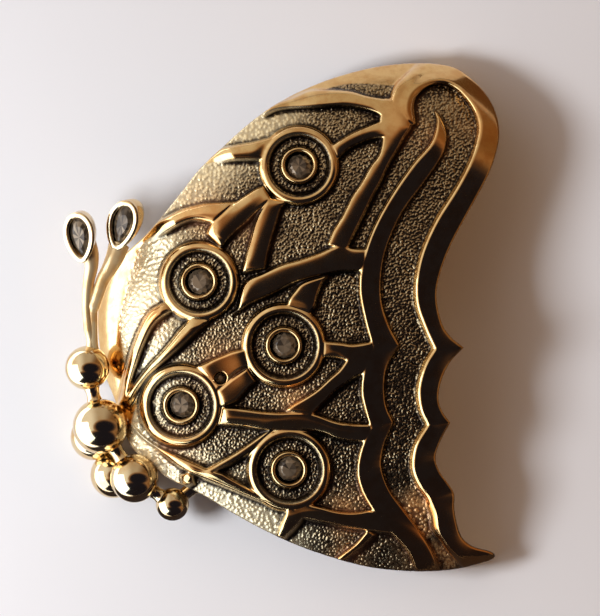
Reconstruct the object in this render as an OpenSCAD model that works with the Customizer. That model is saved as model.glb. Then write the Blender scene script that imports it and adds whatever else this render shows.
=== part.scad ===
// Butterfly brooch in profile: one domed wing cast in relief, a body of round beads,
// two antennae with pear settings, set glass stones and a pin across the hollow back.
// It lies on its back with +Z up, +Y towards the top of the wing and -X towards the body.

/* [Wing] */
// Width that the wing's tables of points are shares of
wing_w = 36; // [33:0.5:40]
// Length that the wing's tables of points are shares of
wing_len = 45; // [42:0.5:50]
// Thickness of the cast shell
wall = 2; // [1.6:0.1:2.4]
// Height of the crown's ground above the table it lies on
dome_h = 10; // [9.4:0.1:11]
// Drop of the ground from the crown to where the margin starts
crown_drop = 3; // [2:0.1:3.6]
// How much is ground off under the lowest tip, so that the rim lies flat
land_cut = 0.5; // [0.3:0.05:0.8]

/* [Relief] */
// Height of veins, rings and borders above the ground
relief_h = 0.7; // [0.5:0.05:1]
// Width of the widest vein
vein_w = 2; // [1.7:0.05:2.2]
// Outer radius of the largest eye ring
ring_r = 3.85; // [3.6:0.05:4]
// Width of an eye ring's band
ring_band = 0.8; // [0.5:0.05:0.95]
// Diameter of the small hole beside the rings
hole_d = 1.1; // [0.8:0.05:1.2]

/* [Stones] */
// Diameter of the round stones
stone_d = 2.3; // [2:0.05:2.4]
// Wall of the collar round each round stone
collar_wall = 0.5; // [0.4:0.05:0.6]
// Depth of a round stone from table to point
stone_h = 1.2; // [1:0.05:1.4]
// How far a stone's table lies below its collar
stone_sink = 0.2; // [0.1:0.05:0.3]
// Clearance round every set stone
stone_gap = 0.05; // [0.03:0.01:0.08]

/* [Body] */
// Diameter of the head bead
head_d = 4; // [3.6:0.1:4.4]
// Diameter of the thorax bead
thorax_d = 5; // [4.6:0.1:5.4]
// Diameter of the abdomen bead
abdomen_d = 4.4; // [4:0.1:4.8]
// Diameter of the tail bead
tail_d = 3; // [2.6:0.1:3.4]
// Diameter of the two beads that the body lies on
foot_d = 4.2; // [3.8:0.1:4.6]
// Height of the centres of the upper beads
bead_z = 4.6; // [4.2:0.1:5]
// Diameter of the necks between the beads
neck_d = 1.2; // [1:0.1:1.6]

/* [Antennae] */
// Diameter of an antenna's stem
stem_d = 0.95; // [0.8:0.05:1.2]
// Length of a pear stone
pear_len = 3.5; // [3.2:0.1:3.8]
// Width of a pear stone
pear_w = 1.9; // [1.7:0.05:2.1]
// Wall of a pear setting round its stone
pear_wall = 0.5; // [0.4:0.05:0.6]
// Height of a pear setting
pear_h = 2.2; // [2:0.1:2.6]
// Depth of a pear stone
pear_stone_h = 1; // [0.8:0.05:1.2]
// Height of the top of the settings above the table
pear_top = 7.6; // [7.2:0.1:8]

/* [Pin] */
// Distance between the middles of the pin's two posts
pin_len = 21; // [18:0.5:22]
// Diameter of the pin's stem
pin_d = 0.9; // [0.8:0.05:1.1]
// Height of the stem's axis above the table
pin_z = 1.5; // [1.2:0.05:1.6]
// Thickness of each post along the pin
post_t = 2.2; // [1.8:0.1:2.6]
// Width of each post across the pin
post_w = 2.6; // [2.2:0.1:3]
// Clearance between the posts' tops and the shell
pin_gap = 0.1; // [0.08:0.01:0.15]

/* [Hidden] */

GOLD = [0.80, 0.62, 0.33];
GLASS = [0.86, 0.86, 0.84];

// Points are percent of wing_w and of wing_len; a third column of 1 marks a corner.
OUTLINE = [
    [-50.5, -5.0], [-50.8, -0.6], [-50.3, 3.6], [-48.8, 7.6], [-45.8, 11.0], [-41.8, 13.8],
    [-38.3, 16.4], [-35.0, 19.4], [-30.0, 24.4], [-25.0, 29.4], [-19.5, 33.6], [-12.5, 38.6],
    [-5.0, 42.8], [2.5, 45.8], [10.0, 48.0], [18.8, 49.8], [27.5, 50.6], [35.0, 50.4],
    [39.5, 49.4], [43.8, 46.8], [47.0, 43.8], [49.0, 40.4], [49.8, 36.6], [49.0, 32.6],
    [46.8, 27.8], [42.5, 21.4], [37.8, 14.4], [35.0, 8.6], [34.0, 3.8], [35.3, -1.4],
    [37.5, -4.2], [40.8, -6.4, 1], [37.5, -9.2], [35.3, -12.8], [34.5, -16.6], [35.5, -19.2],
    [37.5, -21.4, 1], [35.3, -24.6], [33.8, -28.6], [34.5, -32.0], [36.8, -34.8], [39.0, -37.6, 1],
    [38.8, -41.0], [40.0, -44.2], [43.5, -46.4], [48.8, -48.0, 1], [45.0, -49.6], [37.5, -51.0],
    [27.5, -51.2], [17.5, -50.4], [8.8, -48.6], [0, -46.2], [-8.8, -43.0], [-17.5, -39.2],
    [-25.0, -35.6], [-32.0, -33.0], [-37.5, -30.0], [-41.5, -27.0], [-44.0, -23.4], [-45.3, -19.4],
    [-47.0, -15.8], [-49.5, -10.6]
];
INNER_RIDGE = [
    [33.3, 41.4, 1], [34.0, 38.6], [32.5, 34.6], [28.0, 30.4], [22.5, 24.0], [18.0, 17.4],
    [15.3, 11.0], [14.5, 5.4], [15.8, -0.6], [17.8, -6.4, 1], [15.8, -10.4], [15.0, -15.0],
    [16.0, -19.0], [17.3, -22.4, 1], [15.0, -26.4], [14.0, -31.0], [15.3, -35.4], [18.5, -39.6],
    [23.0, -43.8], [27.0, -47.6], [29.5, -53.0, 1], [36.5, -53.0, 1], [33.0, -46.8], [29.8, -42.8],
    [25.8, -38.6], [22.3, -34.6], [20.5, -30.2], [21.3, -25.6], [23.5, -21.4, 1], [21.5, -17.6],
    [21.3, -12.6], [22.5, -9.2], [25.0, -6.0, 1], [22.3, -1.8], [20.5, 3.0], [20.5, 8.6],
    [22.0, 14.0], [25.8, 20.6], [31.3, 26.6], [35.8, 32.0], [36.8, 36.0], [35.5, 39.4]
];
// The outer border runs past the outline, which trims it.
OUTER_BORDER = [
    [28.3, 38.4, 1], [24.8, 38.6, 1], [23.0, 40.8], [22.8, 43.2], [24.0, 45.8], [27.0, 48.0],
    [31.3, 49.9], [35.0, 52.5, 1], [56, 53, 1], [56, -53, 1], [44.5, -53.0, 1], [39.5, -48.8],
    [36.5, -46.0], [34.5, -42.6], [33.8, -39.4], [32.0, -36.4], [29.3, -33.4], [28.0, -30.0],
    [28.8, -25.8], [31.8, -21.8, 1], [30.0, -18.6], [29.5, -14.6], [31.0, -10.0], [33.5, -6.6, 1],
    [31.0, -2.2], [29.0, 2.4], [28.8, 7.4], [30.3, 13.0], [33.8, 19.2], [38.8, 25.6],
    [42.5, 31.4], [44.3, 36.6], [43.5, 40.6], [40.8, 44.0], [37.5, 46.2], [34.3, 46.8],
    [30.8, 46.0], [28.0, 44.0], [27.3, 41.4]
];
// Each vein is a row of sections: percent of wing_w, percent of wing_len, share of vein_w.
VEINS = [
    [[-8.0, 41.2, 0.3], [0, 43.6, 0.5], [7.5, 43.8, 0.6], [14.3, 42.8, 0.6], [20.0, 40.8, 0.7], [25.0, 37.4, 0.8]],
    [[9.3, 33.0, 0.6], [14.0, 35.6, 0.6], [19.0, 37.0, 0.8], [24.0, 37.0, 0.8]],
    [[24.5, 36.4, 0.85], [21.0, 31.6, 0.85], [17.3, 26.6, 0.8], [14.3, 22.2, 0.8], [11.3, 17.6, 0.75], [8.8, 13.0, 0.75]],
    [[-15.5, 3.2, 0.7], [-11.3, 5.0, 1.0], [-5.0, 7.0, 1.0], [0, 8.8, 0.95], [5.0, 10.6, 0.95], [10.0, 11.6, 1.0], [17.0, 11.4, 0.9]],
    [[0.5, 1.0, 1.0], [1.8, 3.8, 0.8], [3.3, 5.8, 0.5], [6.3, 7.8, 0.1]],
    [[4.5, -7.2, 0.8], [11.3, -7.2, 0.8], [18.0, -7.2, 0.8]],
    [[16.5, -8.2, 0.8], [11.8, -11.6, 0.85], [6.3, -15.0, 0.9], [0.8, -18.6, 0.85], [-1.0, -20.2, 0.8]],
    [[-21.5, -19.4, 0.6], [-15.0, -20.4, 0.7], [-7.5, -20.8, 0.75], [0, -21.4, 0.85], [7.5, -22.6, 0.85], [18.0, -23.2, 0.75]],
    [[-25.5, -11.0, 0.6], [-20.0, -9.2, 0.75], [-13.5, -7.6, 0.75]],
    [[-20.5, -16.4, 0.8], [-15.8, -14.0, 0.8], [-10.5, -11.2, 0.75]],
    [[-33.5, 3.0, 0.65], [-37.5, -1.4, 0.55], [-40.0, -6.0, 0.5], [-42.3, -11.0, 0.4], [-44.5, -17.2, 0.3]],
    [[-25.3, -0.6, 0.9], [-29.5, -5.0, 0.85], [-33.5, -8.4, 0.7], [-37.5, -11.8, 0.55], [-41.0, -15.0, 0.4], [-44.8, -17.6, 0.35]],
    [[-41.8, -23.2, 0.3], [-37.5, -26.2, 0.4], [-32.5, -28.0, 0.5], [-27.5, -30.0, 0.6], [-22.5, -31.8, 0.65], [-17.0, -33.2, 0.65], [-11.0, -35.4, 0.65]],
    [[-22.5, -31.0, 0.4], [-17.5, -28.8, 0.45], [-13.0, -26.4, 0.5], [-8.0, -23.2, 0.5]],
    [[-3.0, -39.6, 0.75], [3.8, -40.2, 0.8], [11.3, -40.8, 0.8], [18.8, -42.0, 0.8], [24.5, -44.0, 0.75]],
    [[-2.0, -40.2, 0.7], [-3.5, -42.8, 0.6], [-5.8, -46.0, 0.5]],
    [[8.5, -49.8, 0.45], [13.0, -46.8, 0.45], [18.0, -43.6, 0.45]],
    [[-40.0, 14.4, 0.25], [-34.3, 17.8, 0.6], [-28.8, 19.8, 0.75], [-23.3, 20.8, 0.75], [-17.5, 21.2, 0.55]],
    [[-8.0, 25.0, 0.9], [-13.0, 22.6, 0.9], [-17.5, 19.8, 0.9], [-20.8, 17.0, 0.9], [-22.5, 13.8, 0.85]],
    [[-7.0, 22.0, 0.75], [-8.8, 18.0, 0.9], [-10.8, 13.4, 0.9], [-12.8, 9.0, 0.8], [-13.5, 5.4, 0.75]],
    [[-23.5, 30.0, 0.15], [-19.5, 32.0, 0.45], [-14.3, 32.8, 0.7], [-8.5, 33.2, 0.85]]
];
// Eye rings: percent of wing_w, percent of wing_len, share of ring_r.
RINGS = [
    [-0.3, 30.0, 0.95], [-25.3, 6.8, 0.95], [-4.1, -6.0, 1.0], [-29.8, -18.0, 0.99], [-2.8, -30.8, 1.0]
];
HOLE_AT = [-19.9, -12.5];
DOME_AT = [13.7, -1.15];
// Share of the dome's reach where the steeper margin starts.
CROWN_SHARE = 0.78;

HEAD_AT = [-53.3, -10.5];
THORAX_AT = [-50.0, -22.2];
ABDOMEN_AT = [-41.5, -32.6];
TAIL_AT = [-32.0, -37.8];
THORAX_FOOT_AT = [-51.8, -24.4];
ABDOMEN_FOOT_AT = [-46.8, -32.0];
WING_ROOT_AT = [-40.0, -21.0];
TAIL_ROOT_AT = [-25.5, -33.5];

// Antennae: sections of the stem, then where the pear sits and how far it turns.
// Columns are percent of wing_w, percent of wing_len, share of the climb, share of stem_d.
STEM_1 = [[-52.5, -8.6, 0, 1.5], [-52.8, -5.4, 0.1, 1.0], [-53.5, 0.8, 0.35, 0.95], [-53.4, 6.0, 0.6, 1.0],
    [-53.2, 10.0, 0.8, 1.2], [-53.8, 12.5, 0.9, 1.6]];
STEM_2 = [[-51.8, -8.6, 0, 1.5], [-51.8, -5.4, 0.1, 1.1], [-51.6, 0.8, 0.35, 1.05], [-50.4, 6.0, 0.6, 1.1],
    [-48.8, 10.4, 0.8, 1.25], [-47.3, 13.4, 0.9, 1.6]];
PEARS = [[-55.2, 15.6, 8], [-44.6, 18.0, -14]];
PEAR_SIDES = 20;
GEM_SIDES = 10;
STEM_SIDES = 14;
VEIN_SIDES = 12;
DOME_SIDES = 90;
BEAD_SIDES = 24;
RING_SIDES = 32;
COLLAR_SIDES = 24;
CURVE_STEPS = 2;
FAR = 60;

function spot(p) = [p[0] * wing_w / 100, p[1] * wing_len / 100];
function is_corner(p) = len(p) > 2 && p[2] == 1;
function wrap(list, i) = list[(i + len(list)) % len(list)];

// Tangent of a table's curve at row i, looking along it (side 1) or back (side -1).
function tangent(table, i, side) =
    let (before = spot(wrap(table, i - 1)), here = spot(table[i]), after = spot(wrap(table, i + 1)))
    is_corner(table[i]) ? (side > 0 ? after - here : here - before) : (after - before) / 2;

function hermite(a, b, ta, tb, t) =
    a * (1 - 3 * t * t + 2 * t * t * t) + b * (3 * t * t - 2 * t * t * t)
    + ta * (t - 2 * t * t + t * t * t) + tb * (t * t * t - t * t);

// A smooth closed curve through a table's points, with its corners kept sharp.
function curve(table) = [
    for (i = [0:len(table) - 1], s = [0:CURVE_STEPS - 1])
        let (j = (i + 1) % len(table))
        hermite(spot(table[i]), spot(table[j]), tangent(table, i, 1), tangent(table, j, -1), s / CURVE_STEPS)
];

outline_points = curve(OUTLINE);
dome_xy = spot(DOME_AT);
reach = max([for (p = outline_points) norm(p - dome_xy)]);
crown_reach = CROWN_SHARE * reach;
crown_r = (crown_reach * crown_reach + crown_drop * crown_drop) / (2 * crown_drop);
crown_z = dome_h - wall - crown_r;
break_z = dome_h - wall - crown_drop;
margin_z = (reach * reach + land_cut * land_cut - crown_reach * crown_reach - break_z * break_z)
    / (2 * (-land_cut - break_z));
margin_r = norm([crown_reach, break_z - margin_z]);

// Height of the dome's surface, lifted by off from the hollow's, at a point of the plan.
function dome_height(p, off) =
    let (r = norm(p - dome_xy))
    min(crown_z + sqrt(pow(crown_r + off, 2) - r * r), margin_z + sqrt(pow(margin_r + off, 2) - r * r));
// Tilt and bearing of the dome's surface at a point of the plan.
function slope_at(p) = asin(norm(p - dome_xy) / (crown_r + wall));
function bearing_at(p) = atan2(p[1] - dome_xy[1], p[0] - dome_xy[0]);

collar_r = stone_d / 2 + stone_gap + collar_wall;
left_x = min(spot(HEAD_AT)[0] - head_d / 2, spot(PEARS[0])[0] - pear_w / 2 - pear_wall,
    spot(THORAX_FOOT_AT)[0] - foot_d / 2, spot(THORAX_AT)[0] - thorax_d / 2);
right_x = max([for (p = outline_points) p[0]]);
low_y = min([for (p = outline_points) p[1]]);
high_y = max([for (p = outline_points) p[1]]);
middle = [(left_x + right_x) / 2, (low_y + high_y) / 2];

// The space under the dome's surface, lifted by off from the hollow's.
module dome(off) {
    intersection() {
        translate([dome_xy[0], dome_xy[1], crown_z]) rotate([90, 0, 0]) sphere(r = crown_r + off, $fn = DOME_SIDES);
        translate([dome_xy[0], dome_xy[1], margin_z]) rotate([90, 0, 0]) sphere(r = margin_r + off, $fn = DOME_SIDES);
    }
}

module rings_2d() {
    for (ring = RINGS) translate(spot(ring)) {
        difference() {
            circle(r = ring[2] * ring_r, $fn = RING_SIDES);
            circle(r = ring[2] * ring_r - ring_band, $fn = RING_SIDES);
        }
        circle(r = collar_r, $fn = COLLAR_SIDES);
    }
}

module vein_2d(sections) {
    for (i = [1:len(sections) - 1]) hull() for (section = [sections[i - 1], sections[i]])
        translate(spot(section)) circle(d = section[2] * vein_w, $fn = VEIN_SIDES);
}

module relief_2d() {
    difference() {
        union() {
            for (vein = VEINS) vein_2d(vein);
            polygon(curve(INNER_RIDGE));
            polygon(curve(OUTER_BORDER));
        }
        for (ring = RINGS) translate(spot(ring)) circle(r = ring[2] * ring_r - ring_band / 2, $fn = RING_SIDES);
    }
    rings_2d();
}

// What is sunk between the raised work, down to the ground.
module sunk_ground() {
    difference() {
        linear_extrude(height = dome_h + 2 * relief_h) difference() {
            square(4 * FAR, center = true);
            relief_2d();
        }
        dome(wall);
    }
}

module wing() {
    difference() {
        intersection() {
            linear_extrude(height = dome_h + 2 * relief_h) polygon(outline_points);
            dome(wall + relief_h);
        }
        sunk_ground();
    }
}

// Stands its children on the dome, square to its surface, at a point given in shares.
module on_dome(p, off) {
    here = spot(p);
    translate([here[0], here[1], dome_height(here, off)])
        rotate([0, 0, bearing_at(here)]) rotate([0, slope_at(here), 0]) children();
}

module rod(a, b, d) {
    run = b - a;
    translate(a) rotate([0, acos(run[2] / norm(run)), atan2(run[1], run[0])])
        cylinder(h = norm(run), d = d, $fn = STEM_SIDES);
}

function bead_centre(at, z) = [spot(at)[0], spot(at)[1], z];
head_c = bead_centre(HEAD_AT, bead_z);
thorax_c = bead_centre(THORAX_AT, bead_z);
abdomen_c = bead_centre(ABDOMEN_AT, bead_z);
tail_c = bead_centre(TAIL_AT, bead_z - tail_d / 4);
thorax_foot_c = bead_centre(THORAX_FOOT_AT, foot_d / 2);
abdomen_foot_c = bead_centre(ABDOMEN_FOOT_AT, foot_d / 2);

module bead(centre, d) {
    translate(centre) sphere(d = d, $fn = BEAD_SIDES);
}

module insect_body() {
    bead(head_c, head_d);
    bead(thorax_c, thorax_d);
    bead(abdomen_c, abdomen_d);
    bead(tail_c, tail_d);
    bead(thorax_foot_c, foot_d);
    bead(abdomen_foot_c, foot_d);
    rod(head_c, thorax_c, neck_d);
    rod(thorax_c, abdomen_c, neck_d);
    rod(abdomen_c, tail_c, neck_d);
    rod(thorax_foot_c, abdomen_foot_c, neck_d);
    rod(thorax_c, bead_centre(WING_ROOT_AT, bead_z - wall / 2), neck_d);
    rod(tail_c, bead_centre(TAIL_ROOT_AT, tail_c[2] - tail_d / 8), neck_d);
}

stem_low = bead_z;
stem_high = pear_top - pear_h / 2;
function stem_point(section) =
    [spot(section)[0], spot(section)[1], stem_low + section[2] * (stem_high - stem_low)];
module stem(sections) {
    for (i = [1:len(sections) - 1]) hull() for (section = [sections[i - 1], sections[i]])
        translate(stem_point(section)) sphere(d = section[3] * stem_d, $fn = STEM_SIDES);
}

// A pear outline, point down: round at the top, drawn in to a narrow foot.
function pear_point(k, grow) =
    let (a = 360 * k / PEAR_SIDES, narrow = 1 - 0.45 * pow((1 - sin(a)) / 2, 2))
    [(pear_w / 2 * narrow + grow) * cos(a), (pear_len / 2 + grow) * sin(a)];
function pear_outline(grow) = [for (k = [0:PEAR_SIDES - 1]) pear_point(k, grow)];

module in_pear(pear) {
    translate([spot(pear)[0], spot(pear)[1], pear_top]) rotate([0, 0, pear[2]]) children();
}

module pear_setting(pear) {
    in_pear(pear) translate([0, 0, -pear_h])
        linear_extrude(height = pear_h) polygon(pear_outline(pear_wall));
}

module pear_pocket(pear) {
    in_pear(pear) translate([0, 0, -pear_stone_h - stone_gap])
        linear_extrude(height = pear_h) polygon(pear_outline(stone_gap));
}

module antennae() {
    stem(STEM_1);
    stem(STEM_2);
    for (pear = PEARS) pear_setting(pear);
}

module stone_seat(ring) {
    depth = stone_h + stone_sink + stone_gap;
    on_dome(ring, wall + relief_h) translate([0, 0, -depth])
        cylinder(r = stone_d / 2 + stone_gap, h = depth + relief_h, $fn = COLLAR_SIDES);
}

module casting() {
    color(GOLD) difference() {
        union() {
            difference() {
                wing();
                dome(0);
            }
            insect_body();
            antennae();
        }
        for (ring = RINGS) stone_seat(ring);
        for (pear = PEARS) pear_pocket(pear);
        translate([spot(HOLE_AT)[0], spot(HOLE_AT)[1], 0]) cylinder(d = hole_d, h = 2 * dome_h, $fn = 24);
        translate([0, 0, -FAR]) cube([4 * FAR, 4 * FAR, 2 * FAR], center = true);
    }
}

// Faces of a skin over rings of n points each, from the top one down, closed at both ends.
function skin_faces(rings, n) = concat(
    [[for (k = [n - 1:-1:0]) k]],
    [for (i = [0:rings - 2], k = [0:n - 1]) [i * n + k, i * n + (k + 1) % n, (i + 1) * n + (k + 1) % n]],
    [for (i = [0:rings - 2], k = [0:n - 1]) [i * n + k, (i + 1) * n + (k + 1) % n, (i + 1) * n + k]],
    [[for (k = [0:n - 1]) (rings - 1) * n + k]]
);

// A cut stone from four loops of one outline: table, girdle top, girdle foot and a blunt point.
// Columns are the share of the outline's size and the share of the depth down from the table.
CUT = [[0.58, 0], [1.0, 0.28], [1.0, 0.38], [0.12, 1.0]];
module cut_stone(outline, depth) {
    n = len(outline);
    polyhedron(
        [for (row = CUT) each [for (p = outline) [p[0] * row[0], p[1] * row[0], -depth * row[1]]]],
        skin_faces(len(CUT), n)
    );
}

module wing_stone(ring) {
    color(GLASS) on_dome(ring, wall + relief_h) translate([0, 0, -stone_sink])
        cut_stone([for (k = [0:GEM_SIDES - 1]) stone_d / 2 * [cos(360 * k / GEM_SIDES), sin(360 * k / GEM_SIDES)]],
            stone_h);
}

module antenna_stone(pear) {
    color(GLASS) in_pear(pear) cut_stone(pear_outline(0), pear_stone_h);
}

// Where the middle of the pin lies.
PIN_AT = [-2.0, 13.0];
// A post that reaches up to the lowest part of the hollow over its top.
module pin_post(x) {
    y = spot(PIN_AT)[1];
    top = min([for (dx = [-1, 1], dy = [-1, 1]) dome_height([x + dx * post_t / 2, y + dy * post_w / 2], 0)]);
    base = pin_z - pin_d / 2;
    translate([x - post_t / 2, y - post_w / 2, base]) cube([post_t, post_w, top - pin_gap - base]);
}

module brooch_pin() {
    hinge_x = spot(PIN_AT)[0] + pin_len / 2;
    catch_x = spot(PIN_AT)[0] - pin_len / 2;
    color(GOLD) {
        pin_post(hinge_x);
        pin_post(catch_x);
        translate([catch_x - post_t, spot(PIN_AT)[1], pin_z]) rotate([0, 90, 0])
            cylinder(d = pin_d, h = pin_len + post_t, $fn = 24);
    }
}

translate([-middle[0], -middle[1], 0]) {
    casting();
    for (i = [0:len(RINGS) - 1])
        wing_stone(RINGS[i]);
    for (i = [0:len(PEARS) - 1])
        antenna_stone(PEARS[i]);
    brooch_pin();
}
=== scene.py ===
"""Looks of the butterfly brooch: cast antique gold wing, bead body, antennae and cut stones."""

import logging
import math
from dataclasses import dataclass, field
from enum import Enum
from typing import Any

import bpy
import numpy as np
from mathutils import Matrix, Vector, geometry

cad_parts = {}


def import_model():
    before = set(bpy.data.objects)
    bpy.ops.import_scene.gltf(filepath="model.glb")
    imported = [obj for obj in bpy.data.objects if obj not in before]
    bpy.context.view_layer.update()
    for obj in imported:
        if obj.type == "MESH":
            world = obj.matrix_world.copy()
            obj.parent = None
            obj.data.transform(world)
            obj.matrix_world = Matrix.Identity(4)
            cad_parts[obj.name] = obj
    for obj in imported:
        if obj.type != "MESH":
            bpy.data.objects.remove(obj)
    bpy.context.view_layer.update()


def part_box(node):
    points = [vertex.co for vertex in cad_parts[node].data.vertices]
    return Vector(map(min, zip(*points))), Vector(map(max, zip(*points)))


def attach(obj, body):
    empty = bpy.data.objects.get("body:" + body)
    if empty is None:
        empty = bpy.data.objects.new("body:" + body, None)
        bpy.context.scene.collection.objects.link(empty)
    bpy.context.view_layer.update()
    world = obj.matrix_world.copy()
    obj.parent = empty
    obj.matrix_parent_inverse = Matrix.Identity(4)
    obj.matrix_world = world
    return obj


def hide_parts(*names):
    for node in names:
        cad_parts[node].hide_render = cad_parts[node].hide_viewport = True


log = logging.getLogger("brooch")

Pair = tuple[float, float]
Triple = tuple[float, float, float]
Colour = tuple[float, float, float]

MM = 0.001
ROOT = "root"
CAST = "casting"
GOLD_SLOT = "antique_gold"
GLASS_SLOT = "clear_glass"

# Size of the photograph and how its pixels lie on the brooch.
PHOTO_W = 600
PHOTO_H = 616
PX_PER_MM = 100 / 9
BROOCH_RIGHT_PX = 499.3
BROOCH_TOP_PX = 62.4

# Tables of points are percent of the wing's width and length; a third column of 1 marks a corner.
WIDTH_TO_LENGTH = 0.8
# The wing's outline, from the left edge over the top and down the scalloped right side.
OUTLINE = (
    (-50.5, -5.0), (-50.8, -0.6), (-50.3, 3.6), (-48.8, 7.6), (-45.8, 11.0), (-41.8, 13.8),
    (-38.3, 16.4), (-35.0, 19.4), (-30.0, 24.4), (-25.0, 29.4), (-19.5, 33.6), (-12.5, 38.6),
    (-5.0, 42.8), (2.5, 45.8), (10.0, 48.0), (18.8, 49.8), (27.5, 50.6), (35.0, 50.4),
    (39.5, 49.4), (43.8, 46.8), (47.0, 43.8), (49.0, 40.4), (49.8, 36.6), (49.0, 32.6),
    (46.8, 27.8), (42.5, 21.4), (37.8, 14.4), (35.0, 8.6), (34.0, 3.8), (35.3, -1.4),
    (37.5, -4.2), (40.8, -6.4, 1), (37.5, -9.2), (35.3, -12.8), (34.5, -16.6), (35.5, -19.2),
    (37.5, -21.4, 1), (35.3, -24.6), (33.8, -28.2), (34.7, -31.0), (36.6, -33.2), (38.4, -35.5),
    (38.5, -38.2), (39.1, -41.2), (40.4, -44.3), (43.2, -46.3), (47.4, -47.3), (48.8, -48.0),
    (48.0, -48.9), (44.5, -49.8), (37.5, -51.0), (27.5, -51.2), (17.5, -50.4), (8.8, -48.6),
    (0, -46.2), (-8.8, -43.0), (-17.5, -39.2), (-25.0, -35.6), (-32.0, -33.0), (-37.5, -30.0),
    (-41.5, -27.0), (-44.0, -23.4), (-45.3, -19.4), (-47.0, -15.8), (-49.5, -10.6),
)
# The inner ridge: its crest from the top down to the tail, then its foot from the tail back up.
RIDGE_CREST = (
    (33.3, 41.4, 1), (34.0, 38.6), (32.5, 34.6), (28.0, 30.4), (22.5, 24.0), (18.0, 17.4),
    (15.3, 11.0), (14.5, 5.4), (15.8, -0.6), (17.8, -6.4, 1), (15.8, -10.4), (15.0, -15.0),
    (16.0, -19.0), (17.3, -22.4, 1), (15.0, -26.4), (14.0, -31.0), (15.3, -35.4), (18.5, -39.6),
    (23.0, -43.8), (27.0, -47.6), (29.5, -53.0, 1),
)
RIDGE_FOOT = (
    (36.5, -53.0, 1), (33.0, -46.8), (29.8, -42.8), (25.8, -38.6), (22.3, -34.6), (20.5, -30.2),
    (21.3, -25.6), (23.5, -21.4, 1), (21.5, -17.6), (21.3, -12.6), (22.5, -9.2), (25.0, -6.0, 1),
    (22.3, -1.8), (20.5, 3.0), (20.5, 8.6), (22.0, 14.0), (25.8, 20.6), (31.3, 26.6),
    (35.8, 32.0), (36.8, 36.0), (35.5, 39.4), (33.3, 41.4, 1),
)
# The outer border: round its hook, well outside the outline, then up along its inner side.
BORDER = (
    (28.3, 38.4, 1), (24.8, 38.6, 1), (23.0, 40.8), (22.8, 43.2), (24.0, 45.8), (27.0, 48.0),
    (31.3, 49.9), (35.0, 52.0, 1), (37, 66, 1), (74, 66, 1), (74, -66, 1), (48, -66, 1),
    (44.5, -53.0, 1), (39.5, -48.8), (36.5, -46.0), (34.5, -42.6), (33.8, -39.4), (32.0, -36.4),
    (29.3, -33.4), (28.0, -30.0), (28.8, -25.8), (31.8, -21.8, 1), (30.0, -18.6), (29.5, -14.6),
    (31.0, -10.0), (33.5, -6.6, 1), (31.0, -2.2), (29.0, 2.4), (28.8, 7.4), (30.3, 13.0),
    (33.8, 19.2), (38.8, 25.6), (42.5, 31.4), (44.3, 36.6), (43.5, 40.6), (40.8, 44.0),
    (37.5, 46.2), (34.3, 46.8), (30.8, 46.0), (28.0, 44.0), (27.3, 41.4),
)
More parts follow.
